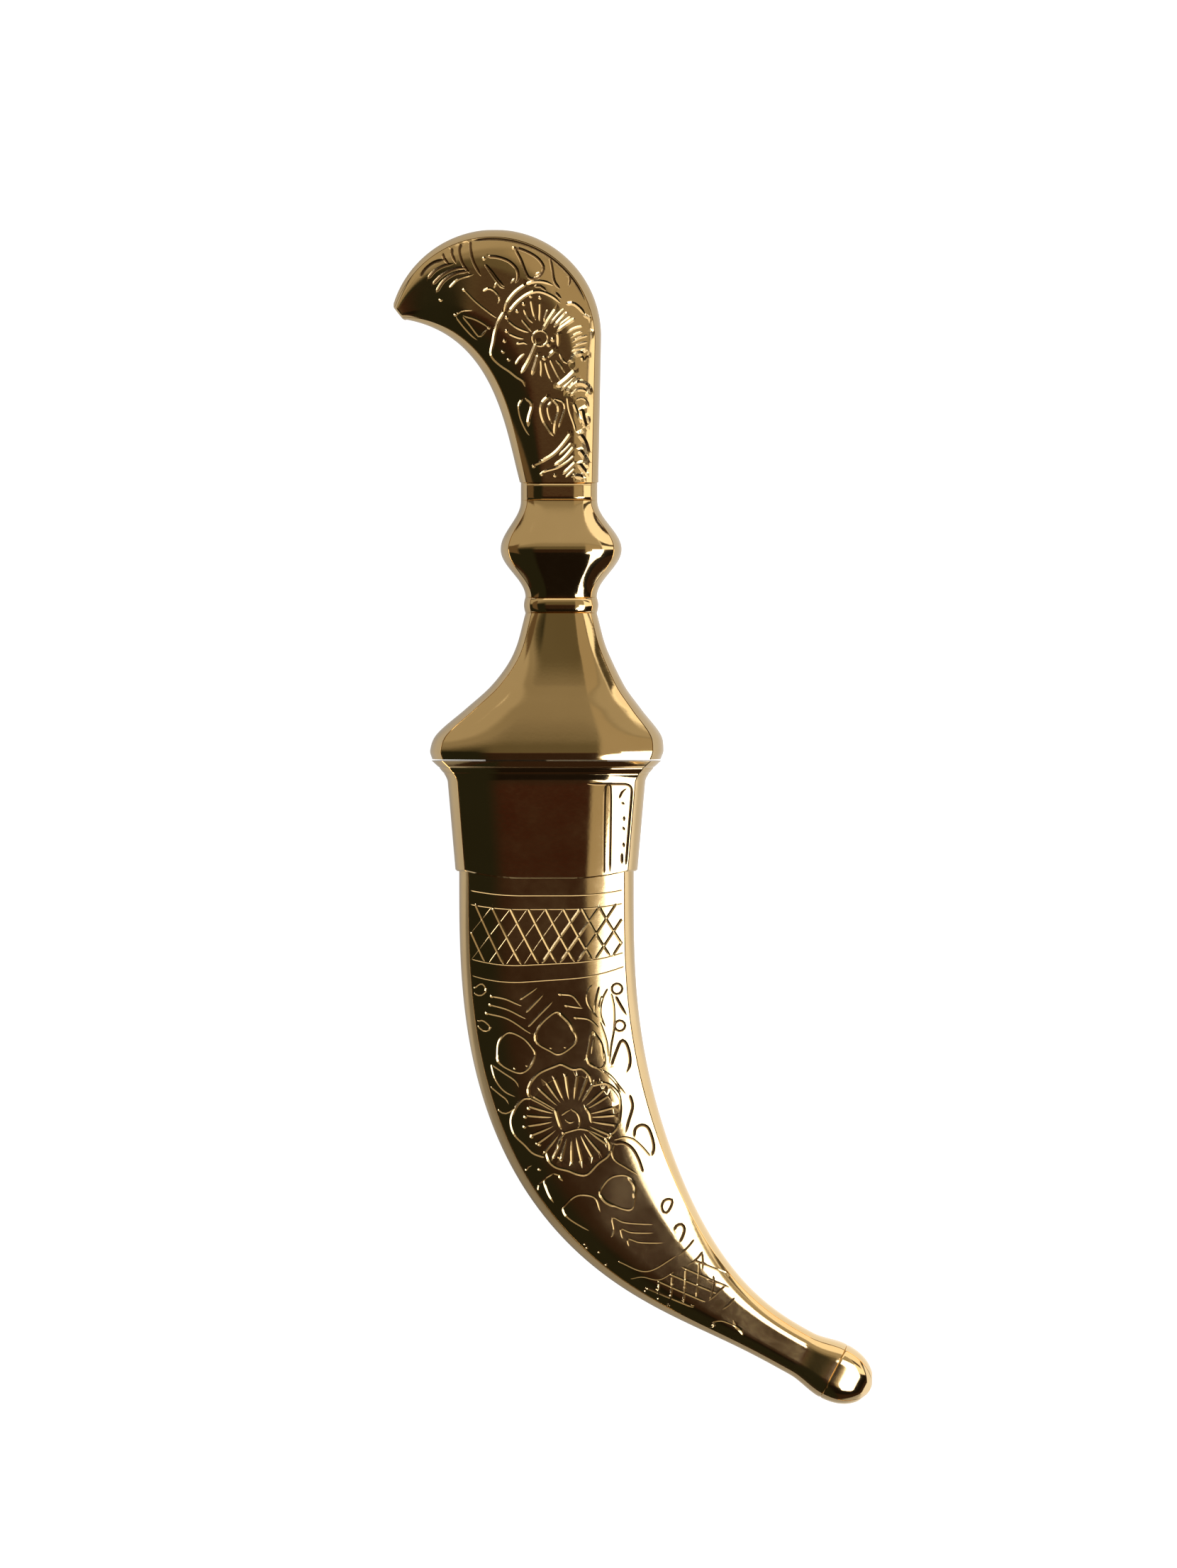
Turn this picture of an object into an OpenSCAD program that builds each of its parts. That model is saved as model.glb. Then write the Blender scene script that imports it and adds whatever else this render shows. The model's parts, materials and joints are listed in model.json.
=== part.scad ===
// Curved dagger of the khanjar type in its scabbard, lying on its back.
// +Z is the engraved front, +Y runs up the hilt, and the origin is under the middle of the
// whole object. Lengths are in millimetres. "s" is a length along the scabbard's middle line,
// counted down from its mouth, and "y" is a height above the mouth.

/* [Scabbard] */
// Width of the scabbard body below the locket
scabbard_w = 34.5; // [32:0.1:37]
// Thickness of the scabbard body, front to back
scabbard_t = 12.4; // [11:0.1:14]
// Length along the middle line from the mouth to the thin neck
scabbard_len = 137; // [130:0.5:144]
// Straight length before the scabbard starts to bend
bend_start = 24; // [20:0.5:30]
// Length along the middle line at which the bend is complete
bend_end = 147.5; // [142:0.5:154]
// Angle that the scabbard turns through
bend_angle = 62.5; // [55:0.5:67]
// Width of the thin neck above the finial
tip_neck_w = 9.5; // [8:0.1:11]
// Thickness of the thin neck above the finial
tip_neck_t = 8; // [7:0.1:9]
// Sheet thickness of the two scabbard halves
scabbard_sheet = 0.9; // [0.6:0.1:1.2]
// Plan width of the rounded border that runs along both edges
border_w = 1.8; // [1.4:0.1:2.8]

/* [Locket] */
// Length of the locket along the scabbard
locket_len = 21.8; // [18:0.1:23.5]
// How far the locket's lower edge bows down in the middle of its faces
locket_bow = 1.4; // [0:0.1:2.2]
// Sheet thickness of the locket at its lower end
locket_sheet = 0.6; // [0.5:0.1:1]
// How much the locket's side walls thicken towards the mouth
locket_flare = 1.9; // [1.2:0.1:2.4]
// Wall of the locket's flat front and back
locket_face = 1.2; // [0.8:0.1:1.6]
// How far the flange at the mouth stands back from the bell's rim, all round
rim_inset = 0.35; // [0.2:0.05:0.6]
// Height of the flange moulding
flange_h = 4.2; // [3.2:0.1:5.5]
// Thickness of the plate in the mouth
mouth_plate_t = 1.6; // [1.2:0.1:2.2]

/* [Finial] */
// Length of the flare from the thin neck to the finial's seam
flare_len = 7.2; // [6:0.1:9]
// Length of the finial's dome
dome_len = 8.3; // [7:0.1:10]
// Width of the finial at its seam
finial_w = 11.8; // [10.5:0.1:13.5]
// Thickness of the finial at its seam
finial_t = 10; // [9:0.1:11]
// Length of the stem inside the scabbard's end
stem_len = 7; // [5:0.5:9]

/* [Blade] */
// Width of the blade at its root
blade_w = 24; // [20:0.1:26]
// Thickness of the blade at its midrib
blade_t = 2.6; // [2:0.1:3.2]
// Radius of the arc that the blade follows
blade_arc = 160; // [150:1:190]
// Length along the scabbard that the blade's tip leaves free above the thin neck
tip_room = 39; // [36:0.5:50]
// Width of the tang at the blade's shoulders
tang_w = 8; // [6:0.1:9]
// Radius of the threaded stud at the tang's end
stud_r = 1.5; // [1.2:0.1:1.8]
// Length of the stud above the grip ring
stud_len = 5; // [4.6:0.1:7]
// Room all round the blade in its slot and channel
blade_room = 0.35; // [0.3:0.05:0.5]

/* [Bell] */
// Height of the bell
bell_h = 28.8; // [26:0.1:32]
// Width of the bell at its rim
bell_w = 46.1; // [43:0.1:49]
// Thickness of the bell at its rim, front to back
bell_t = 20; // [18:0.1:22]
// Sheet thickness of the bell and the knop
fitting_sheet = 1.2; // [0.8:0.1:1.5]
// Sideways offset of the hilt's neck from the scabbard
hilt_shift = 2.9; // [1.5:0.1:4]
// Height over which the bell leans to that offset
lean_h = 21.2; // [17:0.1:26]
// Thickness of the plate that closes the bell
guard_plate_t = 1.6; // [1.2:0.1:2.2]

/* [Neck and knop] */
// Height of the ring on the bell
neck_ring_h = 3.2; // [2.5:0.1:4]
// Width of the hilt's neck
neck_w = 14.1; // [12.5:0.1:15.2]
// Thickness of the hilt's neck, front to back
neck_t = 11; // [9.5:0.1:12.5]
// Height of the knop
knop_h = 19; // [16.5:0.1:21.5]
// Height of the knop's ridge above its lower end
knop_ridge_h = 9.4; // [8:0.1:10.8]
// Width of the knop at its ridge
knop_w = 23.9; // [20:0.1:26]
// Thickness of the knop at its ridge, front to back
knop_t = 17; // [15:0.1:19]

/* [Grip] */
// Height of the ring under the grip
grip_ring_h = 3.6; // [2.8:0.1:4.5]
// Width of the grip's foot
grip_foot_w = 15.5; // [14.3:0.1:17]
// Thickness of the grip, front to back
grip_t = 11; // [10:0.1:12.5]
// Sideways offset of the grip's foot
grip_shift = 2.5; // [1.5:0.1:3.2]
// Sheet thickness of the two grip halves
grip_sheet = 1; // [0.7:0.1:1.3]
// Radius of the pommel's round back
crown_r = 21; // [19.8:0.1:22.2]
// Distance of the crown's centre to the left of the grip's foot
crown_back = 12.7; // [11.5:0.1:13.5]
// Height of the crown's centre above the grip's foot
crown_rise = 28.9; // [26.5:0.1:31.5]
// Distance of the beak to the left of the crown's centre
beak_reach = 17.4; // [16.5:0.1:18.3]
// Height of the beak above the crown's centre
beak_rise = 3.2; // [2.2:0.1:4.2]
// Length of the hook's inner curve handle at the beak
hook_pull = 17.7; // [16:0.1:19.5]
// Length of the hook's inner curve handle at the foot
waist_pull = 11.1; // [9.8:0.1:12.5]

/* [Fits] */
// Gap between the dagger and the scabbard's mouth
mouth_gap = 0.3; // [0.25:0.05:0.6]
// Clearance between pieces that slide into one another
fit = 0.12; // [0.08:0.01:0.2]

/* [Hidden] */

// Angle that the rounded border turns through before it meets the face
border_turn = 55;
// Height of the face at the border, as a share of the half thickness
edge_share = 0.74;
// Half-width of the flat middle of the face, as a share of the face
flat_share = 0.42;
// Points across the rounded border, and places of the points across the crown
border_steps = 3;
crown_places = [0.8, 0.62, flat_share];

// Heights of the hilt's seams
guard_y = mouth_gap;
neck_y = guard_y + bell_h;
knop_y = neck_y + neck_ring_h;
ridge_y = knop_y + knop_ridge_h;
ring_y = knop_y + knop_h;
foot_y = ring_y + grip_ring_h;

// Step from the grip's foot in to the ring under it, and the width of the hilt there
foot_inset = 0.2;
top_w = grip_foot_w - 2 * foot_inset;
// Depth of the chamfers at the ends of the grip ring, which read as two grooves
groove = 0.45;
// How far the ring on the bell swells out
ring_swell = 0.3;

// Size of the flange at the mouth, which follows the bell's rim
flange_w = bell_w - 2 * rim_inset;
flange_t = bell_t - 2 * rim_inset;

// Lengths along the scabbard
seam_s = scabbard_len + flare_len;
end_s = seam_s + dome_len;
blade_s = scabbard_len - tip_room;
liner_over = 6;
liner_s = blade_s + liner_over;

// Shapes of the scabbard's taper, the flange, the finial's dome and the blade, as powers
taper_power = 5.2;
taper_blend = 3.1;
flange_power = 1.7;
dome_power = 2.3;
blade_power = 2.4;
blade_blend = 0.85;
// Share of the finial's size at its seam and at its end
dome_seam_share = 0.95;
dome_tip_share = 0.055;
// Bell's side, as shares of its height and of its size
bell_side = [[0, 0.97], [0.06, 1], [0.17, 0.942], [0.34, 0.65], [0.51, 0.372],
    [0.74, 0.135], [1, 0]];

// Basic curves

function mix(a, b, u) = a + (b - a) * u;
function smooth(u) = let (v = max(0, min(1, u))) v * v * (3 - 2 * v);
function reverse(v) = [for (i = [len(v) - 1:-1:0]) v[i]];
function flatten(v) = [for (row = v) for (p = row) p];
function steps(a, b, n) = [for (i = [0:n]) mix(a, b, i / n)];

// Smooth curve through a table of [place, value] rows
function slope(tb, i) =
    let (a = tb[max(0, i - 1)], b = tb[min(len(tb) - 1, i + 1)])
    (b[1] - a[1]) / (b[0] - a[0]);
function curve(tb, u) =
    let (i = max([for (k = [0:len(tb) - 2]) tb[k][0] <= u ? k : 0]),
        d = tb[i + 1][0] - tb[i][0],
        f = (u - tb[i][0]) / d)
    tb[i][1] * (1 + 2 * f) * pow(1 - f, 2) + slope(tb, i) * d * f * pow(1 - f, 2)
    + tb[i + 1][1] * f * f * (3 - 2 * f) - slope(tb, i + 1) * d * f * f * (1 - f);

// Cross-sections, as [across, height] points from the right edge over the front to the left

function border(w) = border_w * sqrt(2 * w / scabbard_w);
function right_half(w, t) =
    let (b = border(w), e = edge_share * t)
    concat(
        [for (k = [0:border_steps])
            let (a = border_turn * k / border_steps)
            [w - b * (1 - cos(a)) / (1 - cos(border_turn)), e * sin(a) / sin(border_turn)]],
        [for (f = crown_places)
            [(w - b) * f, e + (t - e) * (1 - pow((f - flat_share) / (1 - flat_share), 2))]]);
function over(w, t) =
    let (r = right_half(w, t))
    concat(r, [for (p = reverse(r)) [-p[0], p[1]]]);
function around(w, t) =
    let (o = over(w, t))
    concat(o, [for (i = [len(o) - 2:-1:1]) [o[i][0], -o[i][1]]]);

// The scabbard's middle line

function heading(s) = bend_angle * smooth((s - bend_start) / (bend_end - bend_start));
spine = [for (i = 0, p = [0, 0]; i <= end_s + 2; p = p + [sin(heading(i + 0.5)), -cos(heading(i + 0.5))],
    i = i + 1) p];
function spine_at(s) = let (i = floor(s)) mix(spine[i], spine[i + 1], s - i);

function place(s, ring) =
    let (p = spine_at(s), h = heading(s))
    [for (q = ring) [p[0] + q[0] * cos(h), p[1] + q[0] * sin(h), q[1]]];
function level(y, x, ring) = [for (q = ring) [x + q[0], y, q[1]]];

// Half widths and half thicknesses

function taper(s) = pow(1 - pow(min(1, s / scabbard_len), taper_power), taper_blend);
function flare(s) = smooth((s - scabbard_len) / flare_len);
function half_w(s) = mix(tip_neck_w, scabbard_w, taper(s)) / 2 + (finial_w - tip_neck_w) / 2 * flare(s);
function half_t(s) =
    mix(scabbard_t, tip_neck_t, pow(min(1, s / scabbard_len), 2)) / 2
    + (finial_t - tip_neck_t) / 2 * flare(s);
function hilt_x(y) =
    y < ridge_y ? hilt_shift * smooth(y / lean_h)
    : mix(hilt_shift, grip_shift, smooth((y - ridge_y) / (ring_y - ridge_y)));

// Solids from rings of points, which run from the hilt's end towards the scabbard's tip

// Side triangles between two rings, for points a and b that follow each other
function strip(a, b, c, d) = [[a, d, c], [a, c, b]];
function turn(faces) = [for (f = faces) reverse(f)];
function fan(m, first) = [for (k = [1:m - 2]) [first, first + k, first + k + 1]];

module loft(rings) {
    m = len(rings[0]);
    n = len(rings);
    sides = [for (i = [0:n - 2], k = [0:m - 1])
        let (j = (k + 1) % m)
        each strip(i * m + k, i * m + j, (i + 1) * m + j, (i + 1) * m + k)];
    polyhedron(flatten(rings), concat(sides, fan(m, 0), turn(fan(m, (n - 1) * m))));
}

module tube(outer, inner) {
    m = len(outer[0]);
    n = len(outer);
    z = n * m;
    sides = [for (i = [0:n - 2], k = [0:m - 1])
        let (j = (k + 1) % m)
        each strip(i * m + k, i * m + j, (i + 1) * m + j, (i + 1) * m + k)];
    bore = turn([for (f = sides) f + [z, z, z]]);
    function rim(a) = [for (k = [0:m - 1])
        let (j = (k + 1) % m)
        each [[a + k, a + j, z + a + j], [a + k, z + a + j, z + a + k]]];
    polyhedron(concat(flatten(outer), flatten(inner)),
        concat(sides, bore, rim(0), turn(rim((n - 1) * m))));
}

// A half shell lies on the plane Z = 0. Its first "nose" rings are solid, and the rest follow
// the inner rings.
module half_shell(outer, inner, nose = 0) {
    m = len(outer[0]);
    n = len(outer);
    e = m - 1;
    function o(i, k) = i * m + k;
    function q(i, k) = n * m + (i - nose) * m + k;
    outside = [for (i = [0:n - 2], k = [0:e - 1])
        each strip(o(i, k), o(i, k + 1), o(i + 1, k + 1), o(i + 1, k))];
    inside = turn([for (i = [nose:n - 2], k = [0:e - 1])
        each strip(q(i, k), q(i, k + 1), q(i + 1, k + 1), q(i + 1, k))]);
    edges = [for (i = [nose:n - 2])
        each concat(strip(o(i, e), q(i, e), q(i + 1, e), o(i + 1, e)),
            strip(q(i, 0), o(i, 0), o(i + 1, 0), q(i + 1, 0)))];
    function rim(i) = [for (k = [0:e - 1])
        each [[o(i, k), o(i, k + 1), q(i, k + 1)], [o(i, k), q(i, k + 1), q(i, k)]]];
    a = o(nose - 1, e);
    nose_floor = nose == 0 ? [] : concat(
        nose < 2 ? [] : [for (i = [0:nose - 2])
            each strip(o(i, e), o(i, 0), o(i + 1, 0), o(i + 1, e))],
        [[a, o(nose, e), q(nose, e)], [a, q(nose, e), q(nose, 0)],
            [a, q(nose, 0), o(nose, 0)], [a, o(nose, 0), o(nose - 1, 0)]]);
    start = nose == 0 ? rim(0) : concat(fan(m, 0), turn(fan(m, q(nose, 0))), nose_floor);
    polyhedron(concat(flatten(outer), flatten(inner)),
        concat(outside, inside, edges, start, turn(rim(n - 1))));
}

// Scabbard

shell_stations = steps(mouth_plate_t, seam_s, 25);

module scabbard_half() {
    half_shell(
        [for (s = shell_stations) place(s, over(half_w(s), half_t(s)))],
        [for (s = shell_stations)
            place(s, over(half_w(s) - scabbard_sheet, half_t(s) - scabbard_sheet))]);
}

module scabbard_front() {
    color([0.8, 0.64, 0.36]) on_table() scabbard_half();
}

module scabbard_back() {
    color([0.72, 0.56, 0.3]) on_table() mirror([0, 0, 1]) scabbard_half();
}

locket_fit_w = scabbard_w / 2 + fit;
locket_fit_t = scabbard_t / 2 + fit;
locket_side = locket_fit_w + locket_sheet;
function flange_out(s) = pow(max(0, 1 - s / flange_h), flange_power);
function locket_w(s) =
    mix(locket_side + locket_flare * (1 - s / locket_len), flange_w / 2, flange_out(s));
function locket_t(s) = mix(locket_fit_t + locket_face, flange_t / 2, flange_out(s));

// Chamfer round the locket's lower end, and the share of the face that the bow leaves level
locket_lip = 0.3;
bow_flat_share = 0.3;
// A ring whose points lie further down the scabbard in the middle of the faces
function bowed(s, bow, w, t) = [for (q = around(w, t))
    let (f = min(1, abs(q[0]) / (w - border(w))),
        fall = max(0, (f - bow_flat_share) / (1 - bow_flat_share)))
    place(s + bow * (1 - fall * fall), [q])[0]];

module locket() {
    stations = concat(steps(0, flange_h, 6), [locket_len - locket_lip, locket_len]);
    last = len(stations) - 1;
    function bow(i) = i < last - 1 ? 0 : locket_bow;
    color([0.85, 0.68, 0.38]) on_table()
        tube([for (i = [0:last])
                let (s = stations[i], edge = i == last ? locket_lip : 0)
                bowed(s, bow(i), locket_w(s) - edge, locket_t(s) - edge)],
            [for (i = [0:last]) bowed(stations[i], bow(i), locket_fit_w, locket_fit_t)]);
}

module mouth_plate() {
    color([0.7, 0.54, 0.28]) on_table() difference() {
        loft([for (s = [0, mouth_plate_t]) place(s, around(scabbard_w / 2, scabbard_t / 2))]);
        translate([0, -mouth_plate_t / 2, 0])
            cube([blade_w + 2 * slot_room, 2 * mouth_plate_t, blade_t + 2 * blade_room], center = true);
    }
}

// Finial

dome_places = [0, 0.06, 0.2, 0.35, 0.5, 0.64, 0.77, 0.88, 0.96, 1];
function dome_ring(u) =
    let (k = u == 0 ? dome_seam_share : max(dome_tip_share, sqrt(max(0, 1 - pow(u, dome_power)))))
    place(mix(seam_s, end_s, u), around(finial_w / 2 * k, finial_t / 2 * k));

module finial() {
    stem_in = scabbard_sheet + fit;
    stem = [for (s = [seam_s - stem_len, seam_s - stem_len / 2, seam_s])
        place(s, around(half_w(s) - stem_in, half_t(s) - stem_in))];
    dome = [for (u = dome_places) dome_ring(u)];
    color([0.86, 0.7, 0.42]) on_table() loft(concat(stem, dome));
}

// Blade, which follows one circle through the mouth's centre and a point of the middle line

chord = spine_at(blade_s);
chord_len = norm(chord);
chord_turn = asin(chord_len / 2 / blade_arc);
blade_heading = atan2(chord[0], -chord[1]) - chord_turn;
blade_angle = 2 * chord_turn;
arc_centre = blade_arc * [cos(blade_heading), sin(blade_heading)];
// Thickness of the blade's edge, and how much of its thickness the blade loses towards its tip
edge_t = 0.3;
tip_thin = 0.7;
// Step from the blade's faces down to the tang's, and the tang's length inside the grip's foot
tang_inset = 0.1;
tang_end = 0.5;
// Room beside the blade's edges, and past its tip as a share of its angle
slot_room = blade_room + 0.15;
tip_gap_share = 1.02;

function arc_point(a, r) = arc_centre - r * [cos(blade_heading + a), sin(blade_heading + a)];
function blade_half(u) = blade_w / 2 * pow(1 - pow(u, blade_power), blade_blend);
function blade_section(w, t) =
    let (e = edge_t / 2)
    [[w, e], [0, t], [-w, e], [-w, -e], [0, -t], [w, -e]];
function arc_ring(u, ring) =
    let (a = blade_angle * u, p = arc_point(a, blade_arc), h = blade_heading + a)
    [for (q = ring) [p[0] + q[0] * cos(h), p[1] + q[0] * sin(h), q[1]]];

module blade() {
    tang_half_t = blade_t / 2 - tang_inset;
    tang_ring = [[1, 0.9], [0, 1], [-1, 0.9], [-1, -0.9], [0, -1], [1, -0.9]];
    function tang(y, w) = level(y, grip_shift, [for (q = tang_ring) [q[0] * w, q[1] * tang_half_t]]);
    rings = concat(
        [tang(foot_y - tang_end, tang_w * 0.4), tang(guard_y, tang_w / 2)],
        [level(guard_y, 0, blade_section(blade_w / 2, blade_t / 2))],
        [for (u = [0.03, 0.12, 0.22, 0.32, 0.42, 0.52, 0.61, 0.7, 0.78, 0.85, 0.91, 0.96, 0.985, 0.998])
            arc_ring(u, blade_section(blade_half(u), blade_t / 2 * (1 - tip_thin * pow(u, 4))))]);
    color([0.75, 0.76, 0.78]) on_table() {
        loft(rings);
        translate([grip_shift, foot_y - 2 * tang_end, 0]) rotate([-90, 0, 0])
            cylinder(r = stud_r, h = stud_len + 2 * tang_end, $fn = 32);
    }
}

// Wooden liners

liner_stations = steps(mouth_plate_t, liner_s, 17);
liner_in = scabbard_sheet + fit;

module channel() {
    edge_steps = steps(-0.02, 1, 24);
    function room(u) = blade_half(max(0, u)) + slot_room;
    outline = concat(
        [for (u = edge_steps) arc_point(blade_angle * u, blade_arc - room(u))],
        [arc_point(blade_angle * tip_gap_share, blade_arc)],
        [for (u = reverse(edge_steps)) arc_point(blade_angle * u, blade_arc + room(u))]);
    depth = blade_t / 2 + blade_room;
    translate([0, 0, -depth]) linear_extrude(2 * depth) polygon(outline);
}

module liner_half() {
    difference() {
        loft([for (s = liner_stations)
            place(s, over(half_w(s) - liner_in, half_t(s) - liner_in))]);
        channel();
    }
}

module liner_front() {
    color([0.55, 0.38, 0.22]) on_table() liner_half();
}

module liner_back() {
    color([0.5, 0.34, 0.2]) on_table() mirror([0, 0, 1]) liner_half();
}

// Hilt fittings, each clamped on the next one below

module tang_slot(y0, y1) {
    translate([grip_shift, (y0 + y1) / 2, 0])
        cube([tang_w + 2 * fit, y1 - y0 + 2, blade_t + 2 * fit], center = true);
}

function bell_f(y) = curve(bell_side, (y - guard_y) / bell_h);
function bell_half_w(y) = mix(neck_w, bell_w, bell_f(y)) / 2;
function bell_half_t(y) = mix(neck_t, bell_t, bell_f(y)) / 2;

module bell() {
    heights = [for (u = [1, 0.88, 0.76, 0.64, 0.54, 0.44, 0.34, 0.25, 0.17, 0.11, 0.06, 0.03, 0])
        guard_y + bell_h * u];
    color([0.84, 0.68, 0.4]) on_table()
        tube([for (y = heights) level(y, hilt_x(y), around(bell_half_w(y), bell_half_t(y)))],
            [for (y = heights)
                level(y, hilt_x(y),
                    around(bell_half_w(y) - fitting_sheet, bell_half_t(y) - fitting_sheet))]);
}

module guard_plate() {
    edge = fitting_sheet + fit;
    color([0.7, 0.55, 0.3]) on_table() difference() {
        loft([for (y = [guard_y + guard_plate_t, guard_y])
            level(y, hilt_x(y), around(bell_half_w(guard_y) - edge, bell_half_t(guard_y) - edge))]);
        tang_slot(guard_y, guard_y + guard_plate_t);
    }
}

module neck_ring() {
    color([0.74, 0.58, 0.32]) on_table() difference() {
        loft([for (u = [1, 0.75, 0.25, 0])
            let (swell = u == 1 || u == 0 ? 0 : ring_swell)
            level(mix(neck_y, knop_y, u), hilt_shift, around(neck_w / 2 + swell, neck_t / 2 + swell))]);
        tang_slot(neck_y, knop_y);
    }
}

// Swell of the knop between its ends and its ridge: round in plan, pointed from the side
function knop_u(y) = y > ridge_y ? (y - ridge_y) / (ring_y - ridge_y) : (ridge_y - y) / (ridge_y - knop_y);
function knop_half_w(y) = mix(y > ridge_y ? top_w : neck_w, knop_w, (1 + cos(180 * knop_u(y))) / 2) / 2;
function knop_half_t(y) = mix(neck_t, knop_t, pow(1 - knop_u(y), 1.2)) / 2;

module knop() {
    heights = concat(steps(ring_y, ridge_y, 5), [for (u = [0.2, 0.4, 0.6, 0.8, 1]) mix(ridge_y, knop_y, u)]);
    color([0.85, 0.68, 0.4]) on_table()
        tube([for (y = heights) level(y, hilt_x(y), around(knop_half_w(y), knop_half_t(y)))],
            [for (y = heights)
                level(y, hilt_x(y),
                    around(knop_half_w(y) - fitting_sheet, knop_half_t(y) - fitting_sheet))]);
}

module grip_ring() {
    color([0.74, 0.58, 0.32]) on_table() difference() {
        loft([for (row = [[foot_y, groove], [foot_y - groove, 0], [ring_y + groove, 0], [ring_y, groove]])
            level(row[0], grip_shift, around(top_w / 2 - row[1], neck_t / 2 - row[1]))]);
        tang_slot(ring_y, foot_y);
    }
}

// Grip: a loft between the back's rail and the hook's inner rail

foot_l = [grip_shift - grip_foot_w / 2, foot_y];
foot_r = [grip_shift + grip_foot_w / 2, foot_y];
crown_c = [grip_shift - crown_back, foot_y + crown_rise];
beak = crown_c + [-beak_reach, beak_rise];
foot_to_crown = foot_r - crown_c;
tangent_angle = atan2(foot_to_crown[1], foot_to_crown[0]) + acos(crown_r / norm(foot_to_crown));
// Angle of the beak round the crown, and directions of the hook's two curve handles
beak_angle = 162;
waist_turn = 105;
hook_turn = -10.4;
tangent_p = crown_c + crown_r * [cos(tangent_angle), sin(tangent_angle)];
back_len = norm(tangent_p - foot_r);
crown_len = crown_r * (beak_angle - tangent_angle) * PI / 180;

function back_rail(v) =
    let (d = v * (back_len + crown_len), a = tangent_angle + (d - back_len) / crown_r * 180 / PI)
    d < back_len ? mix(foot_r, tangent_p, d / back_len) : crown_c + crown_r * [cos(a), sin(a)];
function hook_rail(v) =
    let (p1 = foot_l + waist_pull * [cos(waist_turn), sin(waist_turn)],
        p2 = beak + hook_pull * [cos(hook_turn), sin(hook_turn)])
    pow(1 - v, 3) * foot_l + 3 * pow(1 - v, 2) * v * p1 + 3 * (1 - v) * v * v * p2 + pow(v, 3) * beak;
// The grip thins from this place on towards the beak, by this share
thin_from = 0.7;
thin_share = 0.4;
function grip_thin(v) = 1 - thin_share * smooth((v - thin_from) / (1 - thin_from));
// A ring across the grip at place v, with its edges moved in by "inset"
function grip_ring_at(v, inset, full) =
    let (l = hook_rail(v), r = back_rail(v), c = (l + r) / 2, n = (r - l) / norm(r - l),
        w = norm(r - l) / 2 - inset, t = grip_t / 2 * grip_thin(v) - inset,
        section = full ? around(w, t) : over(w, t))
    [for (q = section) [c[0] + q[0] * n[0], c[1] + q[0] * n[1], q[1]]];
// The beak's rounded end: how far it stands past the rails, and its share of the grip there
nose_out = 0.55;
nose_share = 0.55;
function nose_ring() =
    let (l = hook_rail(1), r = back_rail(1), n = (r - l) / norm(r - l),
        c = (l + r) / 2 + nose_out * [-n[1], n[0]],
        w = nose_share * norm(r - l) / 2, t = nose_share * grip_t / 2 * grip_thin(1))
    [for (q = over(w, t)) [c[0] + q[0] * n[0], c[1] + q[0] * n[1], q[1]]];

grip_places = [1, 0.97, 0.93, 0.88, 0.83, 0.78, 0.73, 0.68, 0.63, 0.58, 0.53, 0.48, 0.43, 0.38,
    0.33, 0.28, 0.22, 0.15, 0.08, 0];
// Number of rings at the beak, with the nose's own, that stay solid
beak_rings = 3;

module grip_half() {
    open_places = [for (i = [beak_rings - 1:len(grip_places) - 1]) grip_places[i]];
    half_shell(
        concat([nose_ring()], [for (v = grip_places) grip_ring_at(v, 0, false)]),
        [for (v = open_places) grip_ring_at(v, grip_sheet, false)],
        beak_rings);
}

module grip_front() {
    color([0.8, 0.64, 0.38]) on_table() grip_half();
}

module grip_back() {
    color([0.72, 0.56, 0.32]) on_table() mirror([0, 0, 1]) grip_half();
}

// Nut and washer on the stud, and the filler above them

washer_h = 0.8;
nut_h = 2.4;
// Room round the washer inside the grip, and the washer's rim outside the nut's corners
washer_room = 0.7;
washer_rim = 0.5;
washer_r = neck_t / 2 - grip_sheet - washer_room;
nut_r = washer_r - washer_rim;

module grip_core() {
    core_places = [for (v = grip_places) if (v < 0.9) v];
    color([0.3, 0.22, 0.16]) on_table() difference() {
        loft([for (v = core_places) grip_ring_at(v, grip_sheet + fit, true)]);
        translate([-grip_foot_w, foot_y - stud_len, -grip_t])
            cube([3 * grip_foot_w, stud_len + washer_h + nut_h + fit, 2 * grip_t]);
        translate([grip_shift, foot_y, 0]) rotate([-90, 0, 0])
            cylinder(r = stud_r + fit, h = stud_len + fit, $fn = 32);
    }
}

module on_stud(y, h, bore_r) {
    translate([grip_shift, y, 0]) rotate([-90, 0, 0]) difference() {
        children();
        translate([0, 0, -1]) cylinder(r = bore_r, h = h + 2, $fn = 32);
    }
}

module tang_washer() {
    color([0.72, 0.72, 0.7]) on_table() on_stud(foot_y, washer_h, stud_r + fit)
        cylinder(r = washer_r, h = washer_h, $fn = 48);
}

module tang_nut() {
    color([0.66, 0.66, 0.64]) on_table() on_stud(foot_y + washer_h, nut_h, stud_r + 0.05)
        cylinder(r = nut_r, h = nut_h, $fn = 6);
}

// The origin is under the middle of the object's own box, on the plane that it lies on

reach = concat(flatten([for (u = dome_places) dome_ring(u)]), nose_ring(),
    [for (v = grip_places) back_rail(v)]);
function middle(axis) = (min([for (p = reach) p[axis]]) + max([for (p = reach) p[axis]])) / 2;

module on_table() {
    translate([-middle(0), -middle(1), bell_t / 2]) children();
}

scabbard_front();
scabbard_back();
locket();
mouth_plate();
liner_front();
liner_back();
finial();
blade();
guard_plate();
bell();
neck_ring();
knop();
grip_ring();
grip_front();
grip_back();
grip_core();
tang_washer();
tang_nut();
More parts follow.
